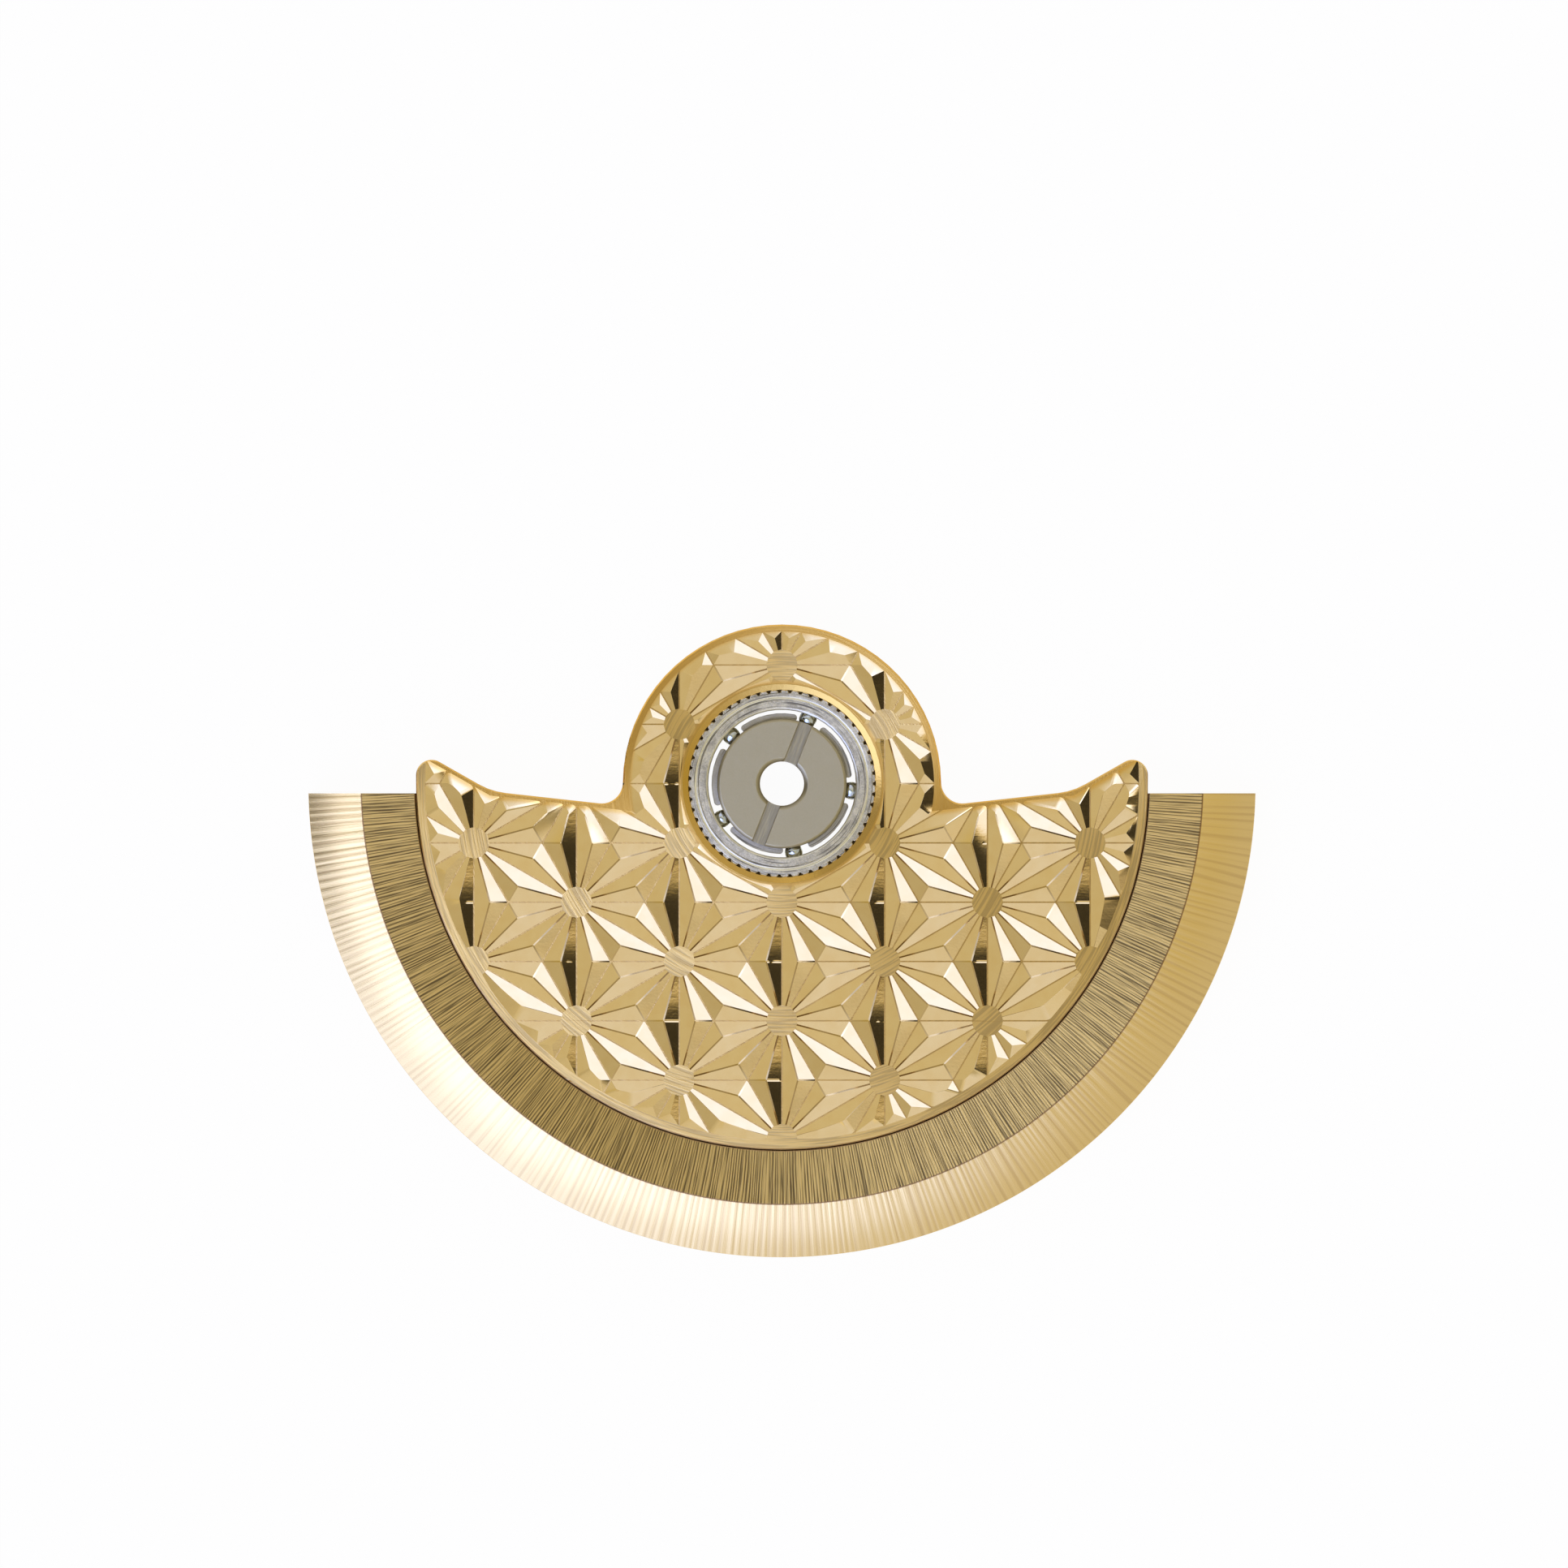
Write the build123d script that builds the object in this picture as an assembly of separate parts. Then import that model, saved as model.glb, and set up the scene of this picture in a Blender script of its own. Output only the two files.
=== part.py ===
"""Oscillating weight of an automatic wristwatch, with its centre ball bearing.

A thin gilt plate with a chip-carved hemp-leaf relief carries a heavy half-ring rim. The plate is pressed
over the knurled outer ring of a five-ball bearing. The slotted bearing screw fixes the inner race to the
movement's bridge. The plate, rim, outer ring and drive gear swing around it, and the balls and their cage
follow at about half speed.

Frame: millimetres, +Z out of the movement, towards the display back. The origin is on the swing axis, in
the plane where the inner race sits on the bridge. The rim hangs towards -Y. Heights are z values.
"""
from build123d import *
from math import ceil, cos, radians, sin, sqrt, tan
import os

OVERRUN = 0.5                     # how far every cutting tool runs past what it cuts

# Ball bearing
BALL_COUNT = 5
BALL_RADIUS = 0.2525
BALL_SIDES = 12                   # facets round a ball, and from pole to pole
BALL_BANDS = 6
BALL_HEIGHT = 0.55                # ball centres above the seat plane
FLANK_ANGLE = 45                  # degrees between a race flank's normal and the seat plane
BALL_PLAY = 0.01                  # clearance between a ball and each of its four flanks
RACE_GAP = 0.253                  # open ring between the screw head and the cover ring
UNDERCUT_HALF = 0.11              # half height of the undercut between the two flanks of a race
INNER_UNDERCUT = 0.2              # depth of the inner race's undercut behind its flanks
OUTER_UNDERCUT = 0.09             # depth of the outer race's undercut behind its flanks

# Cage
POCKET_PHASE = 66                 # degrees from +X to the first pocket
BALL_SHIFTS = (2.1, -1.3, 0.3, -2.3, 0.2)   # degrees that each ball sits off the middle of its pocket
CAGE_HALF = 0.08                  # half the cage's height
CAGE_BORE_PLAY = 0.05             # between the cage and the inner undercut
CAGE_REACH = 0.03                 # how far the cage's fingers reach past the ball centres
POCKET_PLAY = 0.1075              # between a ball and each side of its pocket
POCKET_FLOOR_PLAY = 0.03          # between a ball and the floor of its pocket
POCKET_MOUTH_FILLET = 0.1

# Bearing screw: slotted head, stem and male thread in one piece
HEAD_RIM = 0.22                   # height of the head's cylindrical rim
HEAD_CHAMFER = 0.07
CENTRE_HOLE_RADIUS = 0.625
HOLE_CHAMFER = 0.105
SLOT_WIDTH = 0.382
SLOT_DEPTH = 0.2
SLOT_ANGLE = 68.4                 # degrees from +X
THREAD_WALL = 0.375               # between the centre hole and the thread's crests
THREAD_LENGTH = 0.65
THREAD_CHAMFER = 0.1
CONE_SEAT_STEP = 0.2              # the stem that carries the lower cone ring stands out past the thread
CONE_WALL = 0.3                   # lower cone ring, from the stem to the undercut
CONE_CHAMFER = 0.15               # lower outer edge of the lower cone ring

# Outer ring and its cover
COVER_LAND = 0.05                 # shoulder that the cover ring sits on
COVER_SINK = 0.02                 # cover ring's face below the outer ring's face
LIP_CHAMFER = 0.055               # inner upper edge of the cover ring
OUTER_WALL = 0.21                 # outer ring's wall round the cover ring, up to the knurl's roots
RING_GROOVE_WIDTH = 0.06          # turned line in the outer ring's face
RING_GROOVE_DEPTH = 0.04
RING_GROOVE_STEP = 0.07           # from the cover ring to the groove's middle
KNURL_COUNT = 55
KNURL_DEPTH = 0.08
KNURL_FIT = 0.005                 # between the knurl's tips and the plate's bore
RING_DROP = 0.05                  # outer ring's face below the plate's face
RING_FOOT = 0.06                  # underside of the outer ring above the seat plane

# Drive gear
GEAR_MODULE = 0.1
GEAR_WALL = 0.32                  # least wall between the gear's seat and the roots of its teeth
GEAR_THICKNESS = 0.3
GEAR_SEAT_STEP = 0.05             # how far the gear's seat lies inside the knurl's roots

# Rim weight
RIM_RADIUS = 13.4
RIM_BEVEL_WIDTH = 1.5
RIM_BEVEL_ANGLE = 12              # degrees
RIM_BAND_WIDTH = 1.525            # flat band between the bevel and the plate
RIM_BOTTOM = -0.7
RIM_FOOT_CHAMFER = 0.1
RIM_FACE_DROP = 0.07              # the flat band below the plate's face
RIM_GAP = 0.025                   # between the plate's edge and the rim
RIM_END = 0.275                   # end faces below the swing axis
LEDGE_WIDTH = 1.05                # ledge under the plate's edge
LEDGE_THICKNESS = 0.45

# Plate
PLATE_THICKNESS = 0.6
HEAD_DROP = 0.035                 # screw head's face below the plate's face
HUB_RADIUS = 4.5
BORE_CHAMFER = 0.158              # width of the dish round the bearing
BORE_CHAMFER_ANGLE = 8            # degrees below the plate's face
EDGE_CHAMFER = 0.04
BEND_INSET = 2.132                # from the plate's rim-side edge in to the bend between arm and horn
BEND_DROP = 0.22                  # this bend below the swing axis
ARM_RISE = 6.3                    # degrees that the arm's edge climbs outwards
HORN_RISE = 29.6                  # degrees that the horn's inner edge climbs outwards
HORN_TIP_FILLET = 0.44
BEND_FILLET = 2.0
HUB_FILLET = 0.6

# Relief: a triangular lattice of stars, and one three-sided pit in each third of every triangle
STAR_PITCH = 3.353
STAR_RADIUS = 0.43
RIDGE_HALF_WIDTH = 0.02
FACET_SLOPE = 25                  # degrees below the plate's face
ARM_LAND = 0.12                   # plain border inside the arms and horns
HUB_LAND = 0.2                    # plain border inside the hub's edge
ARC_LAND = 0.26                   # plain border inside the rim-side edge
BEARING_LAND = 0.06               # plain border outside the dish round the bearing
LEAST_PIT_SHARE = 0.004           # smaller scraps of a whole pit aren't cut

# Rivets that hold the plate on the rim's ledge, put in from beneath
RIVET_ANGLES = (-150, -90, -30)   # degrees from +X
RIVET_RADIUS = 0.25
RIVET_HEAD_RADIUS = 0.42
RIVET_HEAD_HEIGHT = 0.12
RIVET_DEPTH = 0.22                # length inside the plate

# Radii that follow from the sizes above, from the centre hole outwards
FLANK_REACH = BALL_RADIUS + BALL_PLAY          # ball centre to race flank


def flank_height(offset):
    """Height of a race flank above or below the ball centres, at an offset from the pitch circle."""
    return (FLANK_REACH - offset * cos(radians(FLANK_ANGLE))) / sin(radians(FLANK_ANGLE))


def flank_offset(height):
    """Distance of a race flank from the pitch circle, at a height above or below the ball centres."""
    return (FLANK_REACH - height * sin(radians(FLANK_ANGLE))) / cos(radians(FLANK_ANGLE))


THREAD_RADIUS = CENTRE_HOLE_RADIUS + THREAD_WALL
CONE_SEAT_RADIUS = THREAD_RADIUS + CONE_SEAT_STEP
SPACER_RADIUS = CONE_SEAT_RADIUS + CONE_WALL
INNER_FLANK_START = SPACER_RADIUS + INNER_UNDERCUT
PITCH_RADIUS = INNER_FLANK_START + flank_offset(UNDERCUT_HALF)     # circle of the ball centres
HEAD_RADIUS = PITCH_RADIUS - RACE_GAP / 2
LIP_RADIUS = PITCH_RADIUS + RACE_GAP / 2
CAGE_RADIUS = PITCH_RADIUS + CAGE_REACH
OUTER_FLANK_START = PITCH_RADIUS + flank_offset(UNDERCUT_HALF)
UNDERCUT_RADIUS = OUTER_FLANK_START + OUTER_UNDERCUT
COVER_RADIUS = UNDERCUT_RADIUS + COVER_LAND
KNURL_ROOT = COVER_RADIUS + OUTER_WALL
KNURL_TIP = KNURL_ROOT + KNURL_DEPTH
BORE_RADIUS = KNURL_TIP + KNURL_FIT
RELIEF_INNER = BORE_RADIUS + BORE_CHAMFER + BEARING_LAND
GEAR_SEAT = KNURL_ROOT - GEAR_SEAT_STEP
GEAR_DEDENDUM = 1.25 * GEAR_MODULE
GEAR_TEETH = ceil(2 * (GEAR_SEAT + GEAR_WALL + GEAR_DEDENDUM) / GEAR_MODULE)
RIM_INNER = RIM_RADIUS - RIM_BEVEL_WIDTH - RIM_BAND_WIDTH
PLATE_RADIUS = RIM_INNER - RIM_GAP
BEND_X = PLATE_RADIUS - BEND_INSET
RIVET_CIRCLE = RIM_INNER - LEDGE_WIDTH / 2

# Heights that follow, from the ball centres upwards and back down through the plate
UPPER_SHOULDER = BALL_HEIGHT + UNDERCUT_HALF
LOWER_SHOULDER = BALL_HEIGHT - UNDERCUT_HALF
RACE_MOUTH = flank_height(RACE_GAP / 2)        # ball centres to where the flanks end, up and down
HEAD_TOP = BALL_HEIGHT + RACE_MOUTH + HEAD_RIM
PLATE_TOP = HEAD_TOP + HEAD_DROP
PLATE_BOTTOM = PLATE_TOP - PLATE_THICKNESS
RING_TOP = PLATE_TOP - RING_DROP
COVER_TOP = RING_TOP - COVER_SINK
LEDGE_BOTTOM = PLATE_BOTTOM - LEDGE_THICKNESS


def turned(*points):
    """Solid of revolution about the swing axis, from (radius, z) points."""
    return revolve(Plane.XZ * make_face(Polyline(*points, close=True)), Axis.Z)


def polar(radius, degrees):
    """(x, y) at a radius and an angle from +X."""
    return radius * cos(radians(degrees)), radius * sin(radians(degrees))


# Bearing

def bearing_screw():
    """Inner race's upper half: slotted head with centre hole, spacer, seat for the lower cone, and thread."""
    body = turned(
        (CENTRE_HOLE_RADIUS, -THREAD_LENGTH),
        (THREAD_RADIUS - THREAD_CHAMFER, -THREAD_LENGTH),
        (THREAD_RADIUS, THREAD_CHAMFER - THREAD_LENGTH),
        (THREAD_RADIUS, 0),
        (CONE_SEAT_RADIUS, 0),
        (CONE_SEAT_RADIUS, LOWER_SHOULDER),
        (SPACER_RADIUS, LOWER_SHOULDER),
        (SPACER_RADIUS, UPPER_SHOULDER),
        (INNER_FLANK_START, UPPER_SHOULDER),
        (HEAD_RADIUS, BALL_HEIGHT + RACE_MOUTH),
        (HEAD_RADIUS, HEAD_TOP - HEAD_CHAMFER),
        (HEAD_RADIUS - HEAD_CHAMFER, HEAD_TOP),
        (CENTRE_HOLE_RADIUS + HOLE_CHAMFER, HEAD_TOP),
        (CENTRE_HOLE_RADIUS, HEAD_TOP - HOLE_CHAMFER),
    )
    slot = Box(2 * (HEAD_RADIUS + OVERRUN), SLOT_WIDTH, SLOT_DEPTH + OVERRUN,
               align=(Align.CENTER, Align.CENTER, Align.MIN))
    return body - Pos(0, 0, HEAD_TOP - SLOT_DEPTH) * Rot(0, 0, SLOT_ANGLE) * slot


def lower_cone_ring():
    """Inner race's lower half, pressed on the screw's stem. Its underside is the seat on the bridge."""
    return turned(
        (CONE_SEAT_RADIUS, 0),
        (HEAD_RADIUS - CONE_CHAMFER, 0),
        (HEAD_RADIUS, CONE_CHAMFER),
        (HEAD_RADIUS, BALL_HEIGHT - RACE_MOUTH),
        (INNER_FLANK_START, LOWER_SHOULDER),
        (CONE_SEAT_RADIUS, LOWER_SHOULDER),
    )


def pocket_angle(number):
    """Middle of a cage pocket, in degrees from +X."""
    return POCKET_PHASE + number * 360 / BALL_COUNT


def ball_cage():
    """Flat ring with one pocket for each ball, open outwards."""
    pocket_floor = PITCH_RADIUS - BALL_RADIUS - POCKET_FLOOR_PLAY
    pocket_width = 2 * (BALL_RADIUS + POCKET_PLAY)
    outline = Circle(CAGE_RADIUS) - Circle(SPACER_RADIUS + CAGE_BORE_PLAY)
    for number in range(BALL_COUNT):
        pocket = Rectangle(CAGE_RADIUS, pocket_width, align=(Align.MIN, Align.CENTER))
        outline -= Rot(0, 0, pocket_angle(number)) * Pos(pocket_floor, 0) * pocket
    mouths = [v for v in outline.vertices() if Vector(v.X, v.Y).length > PITCH_RADIUS]
    outline = fillet(mouths, POCKET_MOUTH_FILLET)
    return Pos(0, 0, BALL_HEIGHT - CAGE_HALF) * extrude(outline, 2 * CAGE_HALF)


def ball(number):
    """One steel ball where it lies in its pocket, drawn with flat facets to keep the model light."""
    points = [(0, 0, -BALL_RADIUS), (0, 0, BALL_RADIUS)]
    for band in range(1, BALL_BANDS):
        latitude = band * 180 / BALL_BANDS - 90
        circle, height = polar(BALL_RADIUS, latitude)
        points += [(*polar(circle, side * 360 / BALL_SIDES), height) for side in range(BALL_SIDES)]
    x, y = polar(PITCH_RADIUS, pocket_angle(number) + BALL_SHIFTS[number])
    return Pos(x, y, BALL_HEIGHT) * ConvexPolyhedron(points)


def outer_ring():
    """Outer race's lower half: bored for the cover ring, knurled where the plate is pressed on."""
    groove_middle = COVER_RADIUS + RING_GROOVE_STEP
    half_groove = RING_GROOVE_WIDTH / 2
    body = turned(
        (LIP_RADIUS, RING_FOOT),
        (GEAR_SEAT, RING_FOOT),
        (GEAR_SEAT, PLATE_BOTTOM),
        (KNURL_ROOT, PLATE_BOTTOM),
        (KNURL_ROOT, RING_TOP),
        (groove_middle + half_groove, RING_TOP),
        (groove_middle, RING_TOP - RING_GROOVE_DEPTH),
        (groove_middle - half_groove, RING_TOP),
        (COVER_RADIUS, RING_TOP),
        (COVER_RADIUS, UPPER_SHOULDER),
        (UNDERCUT_RADIUS, UPPER_SHOULDER),
        (UNDERCUT_RADIUS, LOWER_SHOULDER),
        (OUTER_FLANK_START, LOWER_SHOULDER),
        (LIP_RADIUS, BALL_HEIGHT - RACE_MOUTH),
    )
    corners = []
    for tooth in range(KNURL_COUNT):
        step = 360 / KNURL_COUNT
        corners += [polar(KNURL_ROOT, tooth * step), polar(KNURL_TIP, (tooth + 1 / 2) * step)]
    knurl = make_face(Polyline(*corners, close=True)) - Circle(groove_middle + half_groove)
    return body + Pos(0, 0, PLATE_BOTTOM) * extrude(knurl, RING_TOP - PLATE_BOTTOM)


def race_cover_ring():
    """Outer race's upper half, pressed into the outer ring over the balls."""
    return turned(
        (OUTER_FLANK_START, UPPER_SHOULDER),
        (COVER_RADIUS, UPPER_SHOULDER),
        (COVER_RADIUS, COVER_TOP),
        (LIP_RADIUS + LIP_CHAMFER, COVER_TOP),
        (LIP_RADIUS, COVER_TOP - LIP_CHAMFER),
        (LIP_RADIUS, BALL_HEIGHT + RACE_MOUTH),
    )


def drive_gear():
    """Toothed ring under the plate, which drives the winding train."""
    pitch_radius = GEAR_TEETH * GEAR_MODULE / 2
    root = pitch_radius - GEAR_DEDENDUM
    tip = pitch_radius + GEAR_MODULE
    step = 360 / GEAR_TEETH
    # shares of a tooth's step, from its middle to where its flank leaves the root and meets the tip
    root_share, tip_share = 0.36, 0.12
    corners = []
    for tooth in range(GEAR_TEETH):
        for radius, share in ((root, -root_share), (tip, -tip_share), (tip, tip_share), (root, root_share)):
            corners.append(polar(radius, (tooth + share) * step))
    blank = make_face(Polyline(*corners, close=True)) - Circle(GEAR_SEAT)
    return Pos(0, 0, PLATE_BOTTOM - GEAR_THICKNESS) * extrude(blank, GEAR_THICKNESS)


# Plate

def edge_lines():
    """Arm and horn edges of both sides: (x, y) of the bend on each, and its rise in degrees."""
    lines = []
    for rise in (ARM_RISE, HORN_RISE):
        lines += [(BEND_X, -BEND_DROP, rise), (-BEND_X, -BEND_DROP, -rise)]
    return lines


def below_line(x, y, line):
    """How far a point lies below an edge line."""
    foot_x, foot_y, rise = line
    return (x - foot_x) * sin(radians(rise)) - (y - foot_y) * cos(radians(rise))


def plate_outline():
    """Hub, arms and horns seen from above."""
    below = Sketch()
    for x, y, rise in edge_lines():
        side = Rectangle(4 * PLATE_RADIUS, 4 * PLATE_RADIUS, align=(Align.CENTER, Align.MAX))
        below += Pos(x, y) * Rot(0, 0, rise) * side
    # both circles start where the other shapes hide their first point
    outline = Rot(0, 0, -90) * Circle(HUB_RADIUS) + (Rot(0, 0, 90) * Circle(PLATE_RADIUS) & below)
    tolerance = EDGE_CHAMFER / 10

    def at_radius(radius):
        return [v for v in outline.vertices() if abs(Vector(v.X, v.Y).length - radius) < tolerance]

    outline = fillet(at_radius(HUB_RADIUS), HUB_FILLET)
    outline = fillet(at_radius(PLATE_RADIUS), HORN_TIP_FILLET)
    bends = [v for v in outline.vertices() if Vector(abs(v.X) - BEND_X, v.Y + BEND_DROP).length < tolerance]
    return fillet(bends, BEND_FILLET)


def relief_margin(x, y):
    """How far a point lies inside the relief's borders, or below 0 outside them."""
    from_axis = Vector(x, y).length
    hub = HUB_RADIUS - HUB_LAND - from_axis
    body = min(PLATE_RADIUS - ARC_LAND - from_axis,
               max(below_line(x, y, line) for line in edge_lines()) - ARM_LAND)
    return min(max(hub, body), from_axis - RELIEF_INNER)


def sink(bottom_radius, top_radius, depth):
    """Shallow cone below the plate's face."""
    cone = Cone(bottom_radius, top_radius, depth, align=(Align.CENTER, Align.CENTER, Align.MAX))
    return Pos(0, 0, PLATE_TOP) * cone


def relief_field(depth):
    """The space inside the relief's borders, with sides that slope as the facets do."""
    run = depth / tan(radians(FACET_SLOPE))
    hub = HUB_RADIUS - HUB_LAND
    field = sink(hub - run, hub, depth)
    body_radius = PLATE_RADIUS - ARC_LAND
    for x, y, rise in edge_lines():
        inward = Vector(sin(radians(rise)), -cos(radians(rise)))
        foot = Vector(x, y, PLATE_TOP) + inward * ARM_LAND
        outward = Vector(0, 0, -cos(radians(FACET_SLOPE))) - inward * sin(radians(FACET_SLOPE))
        wall = Plane(foot, x_dir=(cos(radians(rise)), sin(radians(rise)), 0), z_dir=outward)
        body = sink(body_radius - run, body_radius, depth)
        field += split(body, bisect_by=wall, keep=Keep.BOTTOM)
    return field - sink(RELIEF_INNER + run, RELIEF_INNER, depth)


def lattice_point(column, row):
    """Star centre. Columns are half a step out of line with each other."""
    return Vector(column * STAR_PITCH * sqrt(3) / 2, (row + column / 2) * STAR_PITCH)


def pit(first_star, second_star, heart):
    """Three-sided pit, deepest at its middle, with the two corners at the stars cut short."""
    base = (second_star - first_star).length
    side = (heart - first_star).length
    middle = (heart * base + (first_star + second_star) * side) / (base + 2 * side)
    inradius = base * sqrt(side ** 2 - base ** 2 / 4) / (base + 2 * side)
    corners = [middle + (corner - middle) * (1 - RIDGE_HALF_WIDTH / inradius)
               for corner in (first_star, second_star, heart)]
    bottom = middle + Vector(0, 0, -(inradius - RIDGE_HALF_WIDTH) * tan(radians(FACET_SLOPE)))

    def cut_at(star, corner, others):
        """Where the star's edge crosses both sides and the valley of a corner."""
        along = (middle - star).normalized()
        reach = STAR_RADIUS - (corner - star).length
        ways = [(other - corner).normalized() for other in others] + [bottom - corner]
        return [corner + way * (reach / way.dot(along)) for way in ways]

    points = [corners[2], bottom]
    points += cut_at(first_star, corners[0], (corners[1], corners[2]))
    points += cut_at(second_star, corners[1], (corners[0], corners[2]))
    return Pos(0, 0, PLATE_TOP) * ConvexPolyhedron(points)


def relief():
    """All pits of the hemp-leaf pattern. Those that meet a border are trimmed to it."""
    inradius = STAR_PITCH / (2 * sqrt(3) + 4)
    field = relief_field(inradius * tan(radians(FACET_SLOPE)))
    reach = ceil(PLATE_RADIUS / STAR_PITCH) + 2
    cells = range(-reach, reach + 1)
    pits = []
    for column in cells:
        for row in cells:
            star = lattice_point(column, row)
            up, right, down = (lattice_point(column, row + 1), lattice_point(column + 1, row),
                               lattice_point(column + 1, row - 1))
            for triangle in ((star, up, right), (star, right, down)):
                heart = (triangle[0] + triangle[1] + triangle[2]) / 3
                for i in range(3):
                    middle = (triangle[i - 1] + triangle[i] + heart) / 3
                    margin = relief_margin(middle.X, middle.Y)
                    if margin < -STAR_PITCH / 2:
                        continue
                    whole = pit(triangle[i - 1], triangle[i], heart)
                    kept = whole if margin > STAR_PITCH / 2 else whole & field
                    pits += kept.solids() if kept else []
    least = LEAST_PIT_SHARE * max(p.volume for p in pits)
    return [p for p in pits if p.volume > least]


def rotor_plate():
    """Plate with the bearing's bore, the dish round it, the relief, and blind holes for the rivets."""
    plate = extrude(Pos(0, 0, PLATE_BOTTOM) * plate_outline(), PLATE_THICKNESS)
    plate = chamfer(plate.faces().sort_by(Axis.Z)[-1].edges(), EDGE_CHAMFER)
    plate -= Pos(0, 0, PLATE_BOTTOM) * Cylinder(BORE_RADIUS, 4 * PLATE_THICKNESS)
    plate -= sink(BORE_RADIUS, BORE_RADIUS + BORE_CHAMFER, BORE_CHAMFER * tan(radians(BORE_CHAMFER_ANGLE)))
    for angle in RIVET_ANGLES:
        plate -= Pos(*polar(RIVET_CIRCLE, angle), PLATE_BOTTOM) * Cylinder(RIVET_RADIUS, 2 * RIVET_DEPTH)
    return plate - relief()


# Rim

def rim_weight():
    """Heavy half ring: flat band, outer bevel, and a ledge that carries the plate."""
    face = PLATE_TOP - RIM_FACE_DROP
    bevel_drop = RIM_BEVEL_WIDTH * tan(radians(RIM_BEVEL_ANGLE))
    ring = turned(
        (RIM_INNER, RIM_BOTTOM),
        (RIM_RADIUS - RIM_FOOT_CHAMFER, RIM_BOTTOM),
        (RIM_RADIUS, RIM_BOTTOM + RIM_FOOT_CHAMFER),
        (RIM_RADIUS, face - bevel_drop),
        (RIM_RADIUS - RIM_BEVEL_WIDTH, face),
        (RIM_INNER, face),
        (RIM_INNER, PLATE_BOTTOM),
        (RIM_INNER - LEDGE_WIDTH, PLATE_BOTTOM),
        (RIM_INNER - LEDGE_WIDTH, LEDGE_BOTTOM),
        (RIM_INNER, LEDGE_BOTTOM),
    )
    lower_half = Pos(0, -RIM_END) * Box(4 * RIM_RADIUS, 4 * RIM_RADIUS, 4 * RIM_RADIUS,
                                        align=(Align.CENTER, Align.MAX, Align.CENTER))
    rim = ring & lower_half
    for angle in RIVET_ANGLES:
        hole = Cylinder(RIVET_RADIUS, 4 * LEDGE_THICKNESS)
        rim -= Pos(*polar(RIVET_CIRCLE, angle), PLATE_BOTTOM) * hole
    return rim


def rim_rivet(angle):
    """Headed pin: through the rim's ledge and into the plate's blind hole."""
    profile = Polyline(
        (0, LEDGE_BOTTOM - RIVET_HEAD_HEIGHT),
        (RIVET_HEAD_RADIUS, LEDGE_BOTTOM - RIVET_HEAD_HEIGHT),
        (RIVET_HEAD_RADIUS, LEDGE_BOTTOM),
        (RIVET_RADIUS, LEDGE_BOTTOM),
        (RIVET_RADIUS, PLATE_BOTTOM + RIVET_DEPTH),
        (0, PLATE_BOTTOM + RIVET_DEPTH),
        close=True,
    )
    return Pos(*polar(RIVET_CIRCLE, angle)) * revolve(Plane.XZ * make_face(profile), Axis.Z)


def all_parts():
    parts = {
        "bearing_screw": bearing_screw(),
        "lower_cone_ring": lower_cone_ring(),
        "ball_cage": ball_cage(),
        "outer_ring": outer_ring(),
        "race_cover_ring": race_cover_ring(),
        "drive_gear": drive_gear(),
        "rotor_plate": rotor_plate(),
        "rim_weight": rim_weight(),
    }
    for number in range(BALL_COUNT):
        parts[f"ball_{number + 1}"] = ball(number)
    for number, angle in enumerate(RIVET_ANGLES):
        parts[f"rim_rivet_{number + 1}"] = rim_rivet(angle)
    return parts


os.makedirs("parts", exist_ok=True)
for name, part in all_parts().items():
    export_step(part, f"parts/{name}.step")
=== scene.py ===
"""Dresses the watch rotor: gilt plate and rim, steel bearing, and the white table it lies on.

Everything is in metres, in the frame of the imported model: +Z towards the display back, the swing axis at
the origin, the rim towards -Y. Sizes that the model already has are read from its nodes.
"""
from math import ceil, cos, floor, pi, radians, sin, sqrt, tan

import bmesh
import bpy
from mathutils import Matrix, Vector


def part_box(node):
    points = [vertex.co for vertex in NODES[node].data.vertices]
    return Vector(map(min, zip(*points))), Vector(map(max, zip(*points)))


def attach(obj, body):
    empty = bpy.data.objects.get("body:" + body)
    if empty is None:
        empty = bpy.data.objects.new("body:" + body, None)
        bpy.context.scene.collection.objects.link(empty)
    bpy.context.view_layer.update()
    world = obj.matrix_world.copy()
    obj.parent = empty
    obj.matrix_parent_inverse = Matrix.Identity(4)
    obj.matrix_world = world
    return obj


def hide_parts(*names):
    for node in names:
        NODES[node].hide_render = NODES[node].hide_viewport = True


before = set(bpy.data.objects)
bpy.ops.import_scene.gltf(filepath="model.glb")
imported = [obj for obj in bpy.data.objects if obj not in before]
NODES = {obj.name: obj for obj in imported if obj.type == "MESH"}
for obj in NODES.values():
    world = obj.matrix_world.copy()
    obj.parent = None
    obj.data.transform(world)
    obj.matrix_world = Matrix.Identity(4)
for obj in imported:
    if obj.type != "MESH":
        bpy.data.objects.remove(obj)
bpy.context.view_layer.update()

MM = 0.001

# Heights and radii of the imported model
PLATE_LOW, PLATE_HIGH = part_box("rotor_plate")
RIM_LOW, RIM_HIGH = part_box("rim_weight")
COVER_LOW, COVER_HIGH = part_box("race_cover_ring")
RING_LOW, RING_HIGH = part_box("outer_ring")
SCREW_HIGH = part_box("bearing_screw")[1]
GEAR_LOW, GEAR_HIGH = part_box("drive_gear")

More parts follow.
